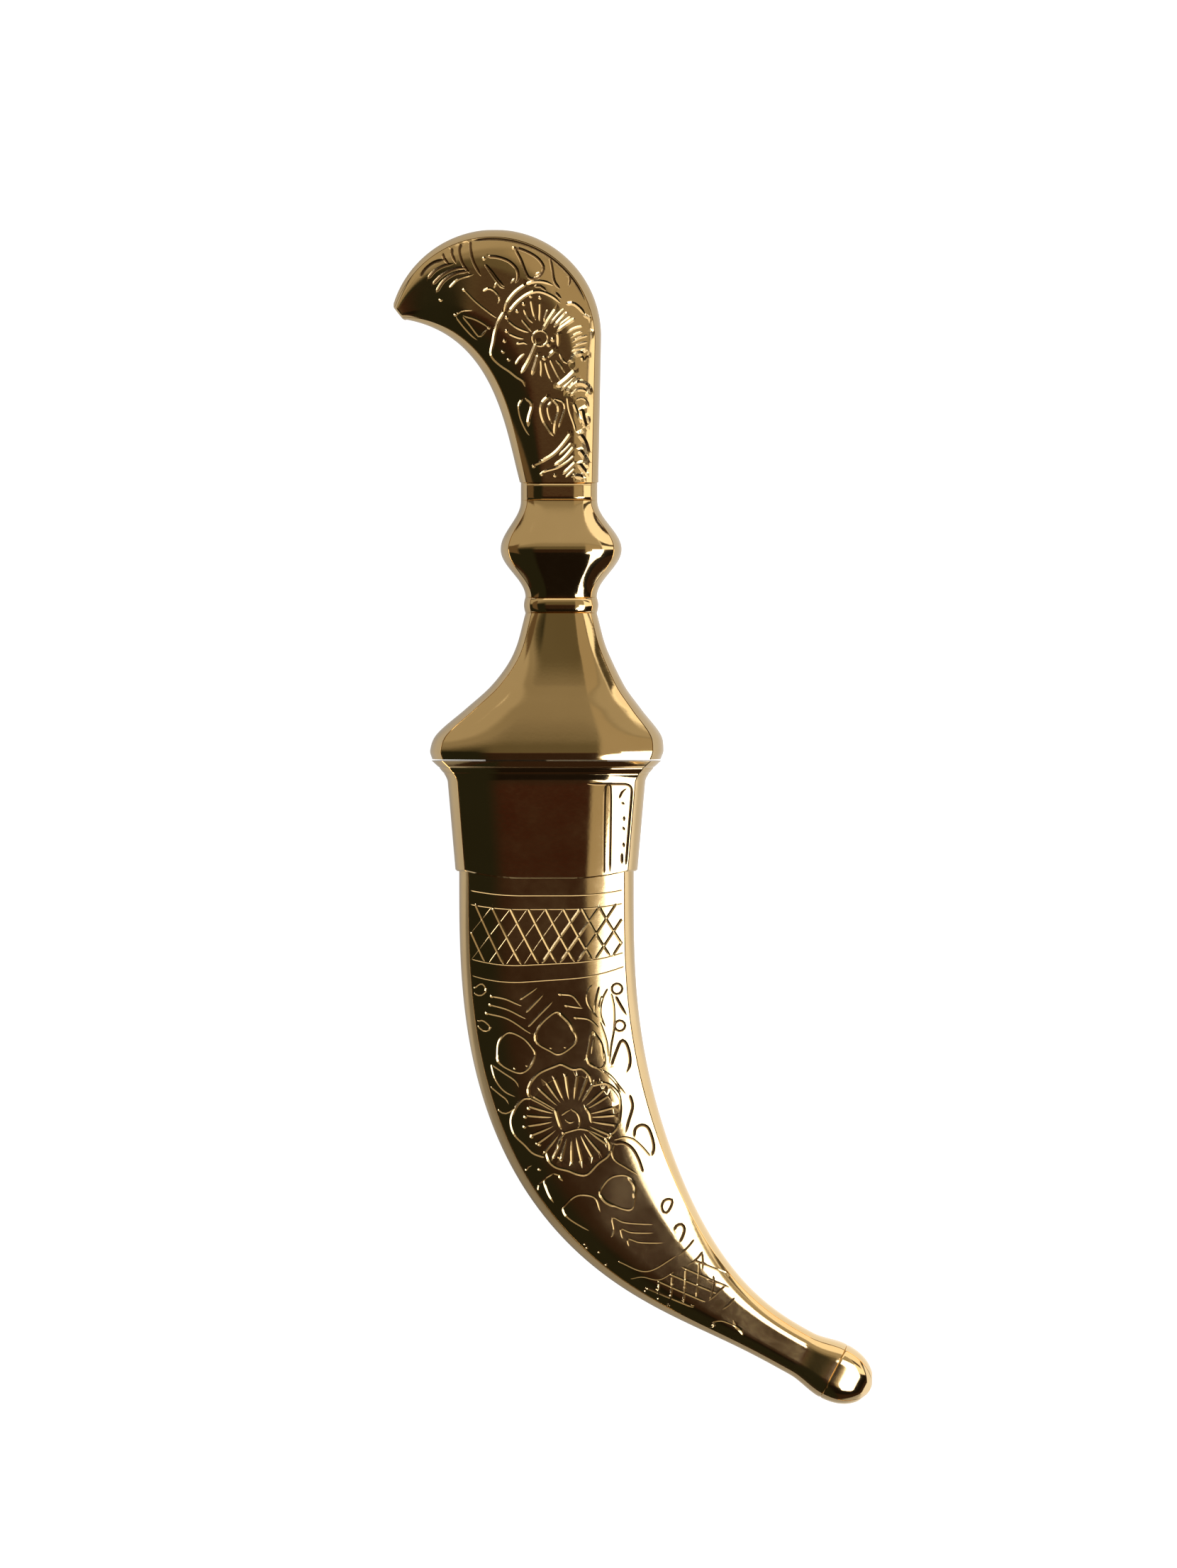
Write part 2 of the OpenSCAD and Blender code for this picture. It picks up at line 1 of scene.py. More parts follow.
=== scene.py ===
# %% [markdown]
# # An engraved curved dagger in its scabbard
# The CAD model gives every piece its place and its rough form. Here each metal piece is made
# again with a fine mesh, the ornament is cut into it as real grooves, and every surface gets a
# finish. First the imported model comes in, and its box is kept: nothing may grow past it.

import json
import math

import bpy
import numpy as np
from mathutils.geometry import delaunay_2d_cdt
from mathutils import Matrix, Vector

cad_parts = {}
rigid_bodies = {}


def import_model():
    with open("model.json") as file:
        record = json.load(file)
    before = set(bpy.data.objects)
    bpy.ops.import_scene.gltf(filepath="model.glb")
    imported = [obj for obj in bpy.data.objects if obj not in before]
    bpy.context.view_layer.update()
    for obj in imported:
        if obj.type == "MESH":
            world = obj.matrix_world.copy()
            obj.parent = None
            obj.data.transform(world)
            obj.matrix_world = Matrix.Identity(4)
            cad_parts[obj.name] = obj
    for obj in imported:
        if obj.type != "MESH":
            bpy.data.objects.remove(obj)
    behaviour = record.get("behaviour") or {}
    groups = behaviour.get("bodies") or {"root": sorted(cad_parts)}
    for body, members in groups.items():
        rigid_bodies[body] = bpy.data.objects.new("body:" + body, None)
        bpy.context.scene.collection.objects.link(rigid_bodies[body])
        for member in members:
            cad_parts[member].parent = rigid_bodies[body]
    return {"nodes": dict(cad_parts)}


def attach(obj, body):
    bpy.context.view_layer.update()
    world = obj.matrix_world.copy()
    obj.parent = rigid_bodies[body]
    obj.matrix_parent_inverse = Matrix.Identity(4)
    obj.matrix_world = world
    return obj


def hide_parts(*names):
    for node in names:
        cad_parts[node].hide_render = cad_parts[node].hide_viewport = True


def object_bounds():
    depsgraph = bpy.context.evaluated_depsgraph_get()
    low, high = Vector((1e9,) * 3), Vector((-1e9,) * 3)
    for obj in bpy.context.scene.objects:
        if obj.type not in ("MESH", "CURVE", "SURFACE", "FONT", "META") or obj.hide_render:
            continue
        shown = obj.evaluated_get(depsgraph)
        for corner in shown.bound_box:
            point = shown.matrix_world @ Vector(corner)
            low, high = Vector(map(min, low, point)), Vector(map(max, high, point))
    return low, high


for leftover in list(bpy.data.objects):
    bpy.data.objects.remove(leftover)
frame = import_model()
cad_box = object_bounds()
print("CAD box, mm:", [[round(c * 1000, 2) for c in corner] for corner in cad_box])

# %% [markdown]
# ## Sizes
# The lengths are those of the CAD source, in millimetres. "s" runs down the scabbard's middle
# line from its mouth, "y" runs up the hilt, and "x" is across, to the right. The object's own
# origin is its middle on the table, so every finished point is shifted by ORIGIN at the end.

# %% Sizes
MM = 0.001
ORIGIN = np.array([17.1541, -11.2483, -10.0])
SCABBARD_W, SCABBARD_T, SCABBARD_LEN = 34.5, 12.4, 137.0
BEND_START, BEND_END, BEND_ANGLE = 24.0, 147.5, 62.5
TIP_NECK_W, TIP_NECK_T = 9.5, 8.0
SHEET, BORDER_W = 0.9, 1.8
LOCKET_LEN, LOCKET_SHEET, LOCKET_FLARE, LOCKET_FACE = 21.8, 0.6, 1.9, 1.2
FLANGE_W, FLANGE_T, FLANGE_H, PLATE_T = 45.4, 19.3, 4.2, 1.6
FLARE_LEN, DOME_LEN, FINIAL_W, FINIAL_T = 7.2, 8.3, 11.8, 10.0
BELL_H, BELL_W, BELL_T, FITTING_SHEET = 28.8, 46.1, 20.0, 1.2
HILT_SHIFT, LEAN_H = 2.9, 21.2
NECK_W, NECK_T, KNOP_W, KNOP_T = 14.1, 11.0, 23.9, 17.0
GUARD_Y, NECK_Y, KNOP_Y, RIDGE_Y, RING_Y, FOOT_Y = 0.3, 29.1, 32.3, 41.7, 51.3, 54.9
GRIP_FOOT_W, GRIP_T, GRIP_SHIFT, GRIP_SHEET = 15.5, 11.0, 2.5, 1.0
TOP_W = GRIP_FOOT_W - 0.4
SEAM_S = SCABBARD_LEN + FLARE_LEN
END_S = SEAM_S + DOME_LEN
FIT = 0.12

BORDER_TURN, EDGE_SHARE, FLAT_SHARE = 55.0, 0.74, 0.42
BORDER_STEPS, FACE_STEPS = 6, 26


def smooth(u):
    u = np.clip(u, 0, 1)
    return u * u * (3 - 2 * u)


def mix(a, b, u):
    return a + (b - a) * u


def even_form(rail, half_w, half_t):
    """A form of one width and thickness."""
    return {"rail": rail, "w": lambda u: np.full_like(u, half_w), "t": lambda u: np.full_like(u, half_t)}


print("Scabbard from the mouth to its end, mm:", END_S)

# %% [markdown]
# ## The section
# Every fitting shares one section: a rounded border turns up from each side, a fine groove runs
# inside it, and then comes a crowned face that is flat in its middle. Half of the section, from
# the right side over the front to the left, is enough, because the back is its mirror image.

# %% The section
GROOVE_IN, GROOVE_DEPTH, GROOVE_FULL_T = 1.05, 0.06, 4.0
FACE_IN = 2 * GROOVE_IN - 1


def border(w):
    return BORDER_W * np.sqrt(2 * w / SCABBARD_W)


def crown(x, w, t):
    edge = EDGE_SHARE * t
    f = np.abs(x) / (w - border(w))
    fall = np.clip(f - FLAT_SHARE, 0, None) / (1 - FLAT_SHARE)
    return edge + (t - edge) * (1 - fall**2)


def section_columns():
    """For each point of the half section: share of the border passed, side to side share, rise."""
    turn = math.radians(BORDER_TURN)
    a = np.linspace(0, turn, BORDER_STEPS + 1)
    inward = np.append((1 - np.cos(a)) / (1 - math.cos(turn)), GROOVE_IN)
    rise = np.append(np.sin(a) / math.sin(turn), 1)
    face, edge = np.linspace(1, -1, FACE_STEPS + 1), np.ones(len(inward))
    return (
        np.concatenate([inward, np.full(len(face), FACE_IN), inward[::-1]]),
        np.concatenate([edge, face, -edge]),
        np.concatenate([rise, np.full(len(face), np.nan), rise[::-1]]),
    )


INWARD, SIDEWAYS, RISE = section_columns()
RIGHT_CREASE, LEFT_CREASE = BORDER_STEPS + 2, BORDER_STEPS + 2 + FACE_STEPS
IN_GROOVE = (INWARD == GROOVE_IN).astype(float)


def half_section(w, t):
    """Points across (x) and heights (z) of the half section, one row for each w and t."""
    x = (w - border(w) * INWARD) * SIDEWAYS
    sunk = GROOVE_DEPTH * np.minimum(1, t / GROOVE_FULL_T) * IN_GROOVE
    return x, np.where(np.isnan(RISE), crown(x, w, t), EDGE_SHARE * t * RISE - sunk)


print("Points in a half section:", len(SIDEWAYS))

# %% [markdown]
# ## Where each form lies
# A form says, for a place u along it, where its middle is, which way is across, and how wide and
# thick it is there. The scabbard follows its bent middle line. The grip is spanned between a
# round back and a hooked front. "locate" goes the other way: from a point of the plan to the
# place along and across, which the engraving needs.

# %% The scabbard's middle line
LINE_STEP, CHUNK = 0.1, 2000
TAPER_NEAR, TAPER_FAR = 5.2, 3.1
FLANGE_CURVE, MOULDING = 1.7, ((1.35, 0.16, 0.05), (2.5, 0.14, 0.03))

line_s = np.arange(0, END_S + 4, LINE_STEP)
line_turn = math.radians(BEND_ANGLE) * smooth((line_s - BEND_START) / (BEND_END - BEND_START))
half_turn = (line_turn[1:] + line_turn[:-1]) / 2
line_xy = np.vstack([[0, 0], np.cumsum(np.stack([np.sin(half_turn), -np.cos(half_turn)], 1), 0)])
line_xy *= LINE_STEP


def in_chunks(locate):
    """Lets a locating function take many points, a chunk at a time."""

    def located(p):
        parts = [locate(p[k : k + CHUNK]) for k in range(0, len(p), CHUNK)]
        return [np.concatenate(values) for values in zip(*parts)]

    return located


def line_rail(s):
    turn = np.interp(s, line_s, line_turn)
    middle = np.stack([np.interp(s, line_s, line_xy[:, k]) for k in (0, 1)], -1)
    return middle, np.stack([np.cos(turn), np.sin(turn)], -1)


@in_chunks
def line_locate(p):
    """Places s and x of plan points p."""
    near = ((p[:, None] - line_xy[None]) ** 2).sum(2).argmin(1)
    middle, across = line_rail(line_s[near])
    along = np.stack([across[:, 1], -across[:, 0]], 1)
    return line_s[near] + ((p - middle) * along).sum(1), ((p - middle) * across).sum(1)


def tip_flare(s, growth):
    return growth / 2 * smooth((s - SCABBARD_LEN) / FLARE_LEN)


def scabbard_w(s):
    taper = (1 - np.minimum(1, s / SCABBARD_LEN) ** TAPER_NEAR) ** TAPER_FAR
    return mix(TIP_NECK_W, SCABBARD_W, taper) / 2 + tip_flare(s, FINIAL_W - TIP_NECK_W)


def scabbard_t(s):
    taper = np.minimum(1, s / SCABBARD_LEN) ** 2
    return mix(SCABBARD_T, TIP_NECK_T, taper) / 2 + tip_flare(s, FINIAL_T - TIP_NECK_T)


def locket_flange(s):
    """Share of the flange's overhang, less the grooves in its moulding: place, width and depth."""
    share = np.clip(1 - s / FLANGE_H, 0, 1) ** FLANGE_CURVE
    for place, width, depth in MOULDING:
        share = share - depth * np.exp(-(((s - place) / width) ** 2))
    return share


def locket_w(s):
    side = SCABBARD_W / 2 + FIT + LOCKET_SHEET + LOCKET_FLARE * (1 - s / LOCKET_LEN)
    return mix(side, FLANGE_W / 2, locket_flange(s))


def locket_t(s):
    return mix(SCABBARD_T / 2 + FIT + LOCKET_FACE, FLANGE_T / 2, locket_flange(s))


line_form = {"rail": line_rail, "locate": line_locate, "step": 0.05}
scabbard_form = {**line_form, "w": scabbard_w, "t": scabbard_t}
locket_form = {**line_form, "w": locket_w, "t": locket_t}
print("Scabbard's end, mm:", line_rail(END_S)[0].round(2))

# %% The hilt's straight middle line
BELL_SIDE = [[0, 0.97], [0.06, 1], [0.17, 0.942], [0.34, 0.65], [0.51, 0.372], [0.74, 0.135], [1, 0]]
BELL_FACE = [[0, 0.965], [0.05, 0.995], [0.17, 0.88], *BELL_SIDE[3:]]
RIDGE_SOFT, RIDGE_CURVE = 0.12, 1.2


def curve_value(table, u):
    """Smooth curve through rows of place and value."""
    px, py = np.array(table).T
    last = len(px) - 1
    lo, hi = np.maximum(np.arange(last + 1) - 1, 0), np.minimum(np.arange(last + 1) + 1, last)
    slope = (py[hi] - py[lo]) / (px[hi] - px[lo])
    i = np.clip(np.searchsorted(px, u, side="right") - 1, 0, last - 1)
    d = px[i + 1] - px[i]
    f = (u - px[i]) / d
    start = py[i] * (1 + 2 * f) * (1 - f) ** 2 + slope[i] * d * f * (1 - f) ** 2
    return start + py[i + 1] * f * f * (3 - 2 * f) - slope[i + 1] * d * f * f * (1 - f)


def hilt_rail(y):
    y = np.asarray(y, float)
    lean = HILT_SHIFT * smooth(y / LEAN_H)
    top = mix(HILT_SHIFT, GRIP_SHIFT, smooth((y - RIDGE_Y) / (RING_Y - RIDGE_Y)))
    x = np.where(y < RIDGE_Y, lean, top)
    return np.stack([x, y], -1), np.stack([np.ones_like(y), np.zeros_like(y)], -1)


def bell_w(y):
    return mix(NECK_W, BELL_W, curve_value(BELL_SIDE, (y - GUARD_Y) / BELL_H)) / 2


def bell_t(y):
    return mix(NECK_T, BELL_T, curve_value(BELL_FACE, (y - GUARD_Y) / BELL_H)) / 2


def knop_u(y):
    return np.where(y > RIDGE_Y, (y - RIDGE_Y) / (RING_Y - RIDGE_Y), (RIDGE_Y - y) / (RIDGE_Y - KNOP_Y))


def knop_w(y):
    ends = np.where(y > RIDGE_Y, TOP_W, NECK_W)
    return mix(ends, KNOP_W, (1 + np.cos(np.pi * knop_u(y))) / 2) / 2


def knop_t(y):
    """The faces turn over the ridge in a small radius."""
    u = np.sqrt(knop_u(y) ** 2 + RIDGE_SOFT**2) - RIDGE_SOFT
    u /= math.sqrt(1 + RIDGE_SOFT**2) - RIDGE_SOFT
    return mix(NECK_T, KNOP_T, np.clip(1 - u, 0, 1) ** RIDGE_CURVE) / 2


bell_form = {"rail": hilt_rail, "w": bell_w, "t": bell_t}
knop_form = {"rail": hilt_rail, "w": knop_w, "t": knop_t}
print("Bell half width at its rim, mm:", bell_w(np.array([2.0])).round(2))

# %% The grip between its two rails
foot_l, foot_r = (np.array([GRIP_SHIFT + side * GRIP_FOOT_W / 2, FOOT_Y]) for side in (-1, 1))
CROWN_R, BEAK_ANGLE = 21.0, 162.0
crown_c = np.array([GRIP_SHIFT - 12.7, FOOT_Y + 28.9])
beak = crown_c + [-17.4, 3.2]
WAIST_PULL, WAIST_TURN, HOOK_PULL, HOOK_TURN = 11.1, 105.0, 17.7, -10.4
BEAK_THIN, THIN_FROM = 0.4, 0.7
GRIP_PLACES, OFF_FACE = 801, 9

to_foot = foot_r - crown_c
tangent_turn = math.atan2(to_foot[1], to_foot[0]) + math.acos(CROWN_R / math.hypot(*to_foot))
tangent_p = crown_c + CROWN_R * np.array([math.cos(tangent_turn), math.sin(tangent_turn)])
back_len = math.hypot(*(tangent_p - foot_r))
crown_len = CROWN_R * (math.radians(BEAK_ANGLE) - tangent_turn)


def heading(degrees):
    return np.array([math.cos(math.radians(degrees)), math.sin(math.radians(degrees))])


def back_rail(v):
    d = np.asarray(v, float) * (back_len + crown_len)
    a = tangent_turn + (d - back_len) / CROWN_R
    straight = foot_r + (tangent_p - foot_r) * (d / back_len)[..., None]
    arc = crown_c + CROWN_R * np.stack([np.cos(a), np.sin(a)], -1)
    return np.where((d < back_len)[..., None], straight, arc)


def hook_rail(v):
    v = np.asarray(v, float)[..., None]
    p1 = foot_l + WAIST_PULL * heading(WAIST_TURN)
    p2 = beak + HOOK_PULL * heading(HOOK_TURN)
    return (1 - v) ** 3 * foot_l + 3 * (1 - v) ** 2 * v * p1 + 3 * (1 - v) * v * v * p2 + v**3 * beak


def grip_rail(v):
    left, right = hook_rail(v), back_rail(v)
    span = right - left
    return (left + right) / 2, span / np.linalg.norm(span, axis=-1, keepdims=True)


def grip_w(v):
    return np.linalg.norm(back_rail(v) - hook_rail(v), axis=-1) / 2


def grip_t(v):
    return GRIP_T / 2 * (1 - BEAK_THIN * smooth((v - THIN_FROM) / (1 - THIN_FROM)))


@in_chunks
def grip_locate(p):
    v = np.linspace(0, 1, GRIP_PLACES)
    middle, across = grip_rail(v)
    d = p[:, None] - middle[None]
    side = d[..., 1] * across[:, 0] - d[..., 0] * across[:, 1]
    off = (d * across).sum(2)
    near = (np.abs(side) + OFF_FACE * np.maximum(0, np.abs(off) - 1.01 * grip_w(v))).argmin(1)
    rows, step = np.arange(len(near)), np.where(near < GRIP_PLACES - 1, 1, -1)
    a, b = side[rows, near], side[rows, near + step]
    part = np.clip(a / np.where(np.abs(a - b) < 1e-9, 1, a - b), -1, 1)
    x = off[rows, near] + part * (off[rows, near + step] - off[rows, near])
    return v[near] + part * step * (v[1] - v[0]), x


grip_form = {"rail": grip_rail, "locate": grip_locate, "step": 0.0008, "w": grip_w, "t": grip_t}
print("Grip's beak, mm:", beak.round(2))

# %% [markdown]
# ## A mesh that keeps its own normals
# Polished metal shows every small error in the shading. So the skin of each piece is collected
# patch by patch, shared points are merged, and each corner of each face keeps the normal that
# belongs to its own patch. Curves stay smooth and creases stay sharp, whatever the triangles are.

# %% The skin of a piece


class Skin:
    def __init__(self):
        self.points, self.faces, self.normals, self.count = [], [], [], 0
        self.cuts = []

    def add(self, points, faces, corners, depth=0.0, painted_shade=0.0):
        """Faces are rows of indices, and corners are their normals, one for each corner."""
        self.points.append(points)
        self.cuts.append(np.stack(np.broadcast_arrays(depth, painted_shade, points[:, 0])[:2]))
        self.faces.append(faces + self.count)
        self.normals.append(corners)
        self.count += len(points)

    def add_flat(self, points, faces):
        flat = face_normals(points, faces)
        self.add(points, faces, np.repeat(flat[:, None], faces.shape[1], 1))

    def grid(self, rows, turned=False, flat=False):
        """Rows of points become quads. Seen from outside, rows run down and points run left."""
        rows = np.asarray(rows, float)
        index = np.arange(rows.shape[0] * rows.shape[1]).reshape(rows.shape[:2])
        corners = [index[:-1, :-1], index[:-1, 1:], index[1:, 1:], index[1:, :-1]]
        quads = np.stack(corners[::-1] if turned else corners, -1).reshape(-1, 4)
        points = rows.reshape(-1, 3)
        if flat:
            self.add_flat(points, quads)
        else:
            down, along = np.gradient(rows, axis=0), np.gradient(rows, axis=1)
            normals = unit(np.cross(along, down)).reshape(-1, 3) * (-1 if turned else 1)
            self.add(points, quads, normals[quads])

    def fan(self, ring, turned=False):
        """A flat cap. Seen from outside, the ring runs against the clock unless it is turned."""
        k = np.arange(len(ring))
        order = [np.full(len(ring), len(ring)), k, (k + 1) % len(ring)]
        faces = np.stack([order[0], order[2], order[1]] if turned else order, -1)
        self.add_flat(np.vstack([ring, np.mean(ring, 0)]), faces)


def unit(v):
    length = np.linalg.norm(v, axis=-1, keepdims=True)
    return v / np.where(length < 1e-12, 1, length)


def face_normals(points, faces):
    """From two sides of a triangle, or from the two diagonals of a quad."""
    p = points[faces].swapaxes(0, 1)
    a, b = (p[1] - p[0], p[2] - p[0]) if len(p) == 3 else (p[2] - p[0], p[3] - p[1])
    return unit(np.cross(a, b))


test = Skin()
test.grid([[[1, 1, 0], [0, 1, 0]], [[1, 0, 0], [0, 0, 0]]], flat=True)
print("A test face looks towards", test.normals[0][0, 0].round(2))

# %% [markdown]
# A finished piece is a plain mesh at the origin, in metres, that rides on a body of the CAD model and stands
# for a CAD node. Its slot has the material's name, without the number that Blender adds to a name in use. How
# deep each point lies in a cut, and whether the cut is filled with black as painted shade, is kept on the
# mesh for the finish.

# %% Skin to object
MERGE = 1e-4


def welded(skin):
    """Points with doubles merged, their depth and painted shade, and faces with a normal for each corner."""
    points, cuts = np.vstack(skin.points), np.hstack(skin.cuts)
    _, first, same = np.unique(
        np.round(points / MERGE).astype(np.int64), axis=0, return_index=True, return_inverse=True
    )
    faces, normals = [], []
    for patch, corners in zip(skin.faces, skin.normals):
        for face, corner in zip(same.ravel()[patch].tolist(), corners):
            keep = [k for k in range(len(face)) if face[k] != face[k - 1]]
            if len(keep) > 2:
                faces.append([face[k] for k in keep])
                normals.extend(corner[keep])
    return points[first], cuts[:, first], faces, np.array(normals)


def make_piece(name, skin, material, body, node):
    points, cuts, faces, normals = welded(skin)
    places = np.clip((points - ORIGIN) * MM, *(np.array(corner) for corner in cad_box))
    mesh = bpy.data.meshes.new(name)
    mesh.from_pydata(places.tolist(), [], faces)
    mesh.normals_split_custom_set(normals.tolist())
    for key, values in zip(("cut", "painted_shade"), cuts):
        mesh.attributes.new(key, "FLOAT", "POINT").data.foreach_set("value", values.astype(np.float32))
    mesh.materials.append(material)
    piece = bpy.data.objects.new(name, mesh)
    bpy.context.scene.collection.objects.link(piece)
    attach(piece, body)
    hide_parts(node)
    print(f"{name}: {len(points)} points, {len(faces)} faces")


print("Points of the test face once it is welded:", len(welded(test)[0]))

# %% [markdown]
# ## Lofted patches
# A loft lays the section along a form. Border and face are separate patches, so that the crease
# between them stays crisp, and the border runs round the side without a break.

# %% Lofts
FRONT, BACK = 1, -1
FACE = slice(RIGHT_CREASE, LEFT_CREASE + 1)
GROOVE_WALLS = RIGHT_CREASE - 2, RIGHT_CREASE - 1, LEFT_CREASE, LEFT_CREASE + 1


def half_rows(form, u, inset=0.0, side=FRONT):
    """Rows of the half section at places u, which may differ from column to column."""
    u = np.asarray(u, float)
    u = u[:, None] if u.ndim == 1 else u
    middle, across = form["rail"](u)
    x, z = half_section(form["w"](u) - inset, form["t"](u) - inset)
    return np.dstack([middle + x[..., None] * across, side * z])


def add_half(skin, rows, side=FRONT, face=True, inside=False):
    """Borders, groove walls and face of one half."""
    turned = (side == BACK) != inside
    skin.grid(rows[:, : RIGHT_CREASE - 1], turned)
    skin.grid(rows[:, LEFT_CREASE + 2 :], turned)
    for k in GROOVE_WALLS:
        skin.grid(rows[:, k : k + 2], turned)
    if face:
        skin.grid(rows[:, FACE], turned)


def add_round(skin, form, u, inset=0.0, inside=False):
    """Both halves, with each border in one patch from groove to groove."""
    front, back = half_rows(form, u, inset), half_rows(form, u, inset, BACK)
    skin.grid(np.concatenate([back[:, RIGHT_CREASE - 2 : 0 : -1], front[:, : RIGHT_CREASE - 1]], 1), inside)
    skin.grid(np.concatenate([front[:, LEFT_CREASE + 2 :], back[:, -2 : LEFT_CREASE + 1 : -1]], 1), inside)
    for rows, turned in ((front, inside), (back, not inside)):
        for k in GROOVE_WALLS:
            skin.grid(rows[:, k : k + 2], turned)
    for rows, turned in ((front, inside), (back, not inside)):
        skin.grid(rows[:, FACE], turned)
    return np.concatenate([front, back[:, -2:0:-1]], 1)


def close(rows):
    """Rings with their first point again at the end."""
    return np.concatenate([rows, rows[:, :1]], 1)


def add_strip(skin, a, b, turned=False):
    """A flat strip from one line of points to another."""
    skin.grid(np.stack([a, b]), turned, flat=True)


def add_rims(skin, outer, inner, side=FRONT):
    """The flat ends between an outer and an inner surface."""
    add_strip(skin, inner[0], outer[0], side == BACK)
    add_strip(skin, outer[-1], inner[-1], side == BACK)


def add_seams(skin, outer, inner, side):
    """The two flat faces of a half that lie on the seam plane."""
    skin.grid(np.stack([inner[:, 0], outer[:, 0]], 1), side == BACK, flat=True)
    skin.grid(np.stack([outer[:, -1], inner[:, -1]], 1), side == BACK, flat=True)


def add_tube(skin, outer_form, inner_form, u, inset=0.0):
    outer = add_round(skin, outer_form, u)
    add_rims(skin, close(outer), close(add_round(skin, inner_form, u, inset, inside=True)))


mouth = half_rows(scabbard_form, [0.0])[0]
print("Scabbard's width at its mouth, mm:", np.ptp(mouth[:, 0]).round(2))

# %% [markdown]
# ## Cutting the ornament
# An engraver's tool leaves a V-shaped groove that is wide where it is deep and runs out to a
# point. A cut is a path with a half width at each point. Its two edges and its bottom line become
# edges of the mesh, by a constrained Delaunay triangulation of the face in plan, and then each
# point is lifted onto the crowned face and lowered by its depth in the cut. That keeps every
# groove crisp with few faces, also where cuts cross.

# %% Paths
SPANS, CUT_SPACING, TAPER_STEPS = 8, 0.55, np.array([0, 0.3, 0.65])


def through(points, closed=False):
    """A smooth path through given points."""
    p = np.asarray(points, float)
    if len(p) < 3:
        return p
    if closed:
        p = np.vstack([p, p[:1]])
        ends = np.vstack([p[-2], p, p[1]])
    else:
        ends = np.vstack([2 * p[0] - p[1], p, 2 * p[-1] - p[-2]])
    t = np.linspace(0, 1, SPANS, endpoint=False)[:, None]
    a, b, c, d = ends[:-3, None], ends[1:-2, None], ends[2:-1, None], ends[3:, None]
    path = 0.5 * (2 * b + (c - a) * t + (2 * a - 5 * b + 4 * c - d) * t**2 + (3 * b - a - 3 * c + d) * t**3)
    return np.vstack([path.reshape(-1, 2), p[-1:]])


def is_dot(path):
    return (path[0] == path[1]).all()


def lengths(path):
    return np.concatenate([[0], np.cumsum(np.hypot(*np.diff(path, axis=0).T))])


def at_lengths(path, at):
    """Points of a path, by their lengths along it."""
    return np.stack([np.interp(at, lengths(path), path[:, k]) for k in (0, 1)], 1)


def spaced(path, half, start, end):
    """The path again at even spacing, with a half width that runs out at both ends."""
    total = lengths(path)[-1]
    if start == end == 0:
        at = np.linspace(0, total, max(9, int(total / CUT_SPACING) + 1))
        return at_lengths(path, at), np.full(len(at), half)
    start, end = min(start, total / 2), min(end, total / 2)
    inner = np.linspace(start, total - end, max(2, int((total - start - end) / CUT_SPACING) + 1))
    at = np.unique(np.concatenate([TAPER_STEPS * start, inner, total - end * TAPER_STEPS]))
    return at_lengths(path, at), half * np.sqrt(np.clip(np.minimum(at / start, (total - at) / end), 0, 1))


arch = through([(0, 0), (1, 1), (2, 0)])
print(f"An arch through 3 points has {len(arch)} points and is {lengths(arch)[-1]:.2f} mm long")

# %% Cuts
CUT_SLOPE, EDGE_MARGIN, BLUNT = 0.55, 0.04, 0.3
PROBE_STEP, SHORTEST, DOT_SIDES, FAR = 0.15, 4, 10, 9.0


def inside_runs(form, path, u_range, half):
    """The stretches of a path that lie on the form's face."""
    total = lengths(path)[-1]
    fine = at_lengths(path, np.linspace(0, total, max(2, int(total / PROBE_STEP))))
    u, x = form["locate"](fine)
    w = form["w"](u)
    ok = (np.abs(x) < w - FACE_IN * border(w) - EDGE_MARGIN - half) & (u > u_range[0]) & (u < u_range[1])
    edges = np.flatnonzero(np.diff(np.concatenate([[0], ok.astype(int), [0]])))
    runs = zip(edges[::2], edges[1::2])
    return [(fine[a:b], a > 0, b < len(fine)) for a, b in runs if b - a > SHORTEST]


def fit_cuts(form, wanted, u_range):
    """Cuts as (points, half widths, painted shade), kept to the face. Where the face ends, a cut ends
    bluntly.
    """
    fitted = []
    for path, half, start, end, painted_shade in wanted:
        if is_dot(path):
            if inside_runs(form, path + [[0, 0], [0.9, 0]], u_range, half):
                fitted.append((path, np.full(2, half), painted_shade))
            continue
        for run, cut_start, cut_end in inside_runs(form, path, u_range, half):
            tapers = (0 if cut_start else start), (0 if cut_end else end)
            if start or end or cut_start or cut_end:
                tapers = [max(taper, BLUNT) for taper in tapers]
            fitted.append((*spaced(run, half, *tapers), painted_shade))
    return fitted


def depth_in_cuts(points, cuts):
    """How deep each plan point lies in the cuts, how far it is from their edges, and whether a filled cut
    gives it painted shade.
    """
    depth, room, painted_shade = np.zeros(len(points)), np.full(len(points), FAR), np.zeros(len(points))
    for path, half, has_painted_shade in cuts:
        reach = half.max() + 0.5
        near = np.flatnonzero(((points > path.min(0) - reach) & (points < path.max(0) + reach)).all(1))
        if len(near) == 0:
            continue
        q = points[near][:, None]
        a, span = path[:-1][None], np.diff(path, axis=0)[None]
        t = np.clip(((q - a) * span).sum(2) / np.maximum((span**2).sum(2), 1e-12), 0, 1)
        inside = (mix(half[:-1], half[1:], t) - np.linalg.norm(q - a - t[..., None] * span, axis=2)).max(1)
        depth[near] = np.maximum(depth[near], CUT_SLOPE * np.clip(inside, 0, None))
        room[near] = np.minimum(room[near], np.abs(inside))
        # Points in a filled cut get painted shade: black that stands in for the dark the cut's walls would
        # mirror.
        if has_painted_shade:
            painted_shade[near] = np.maximum(painted_shade[near], inside > -0.01)
    return depth, room, painted_shade


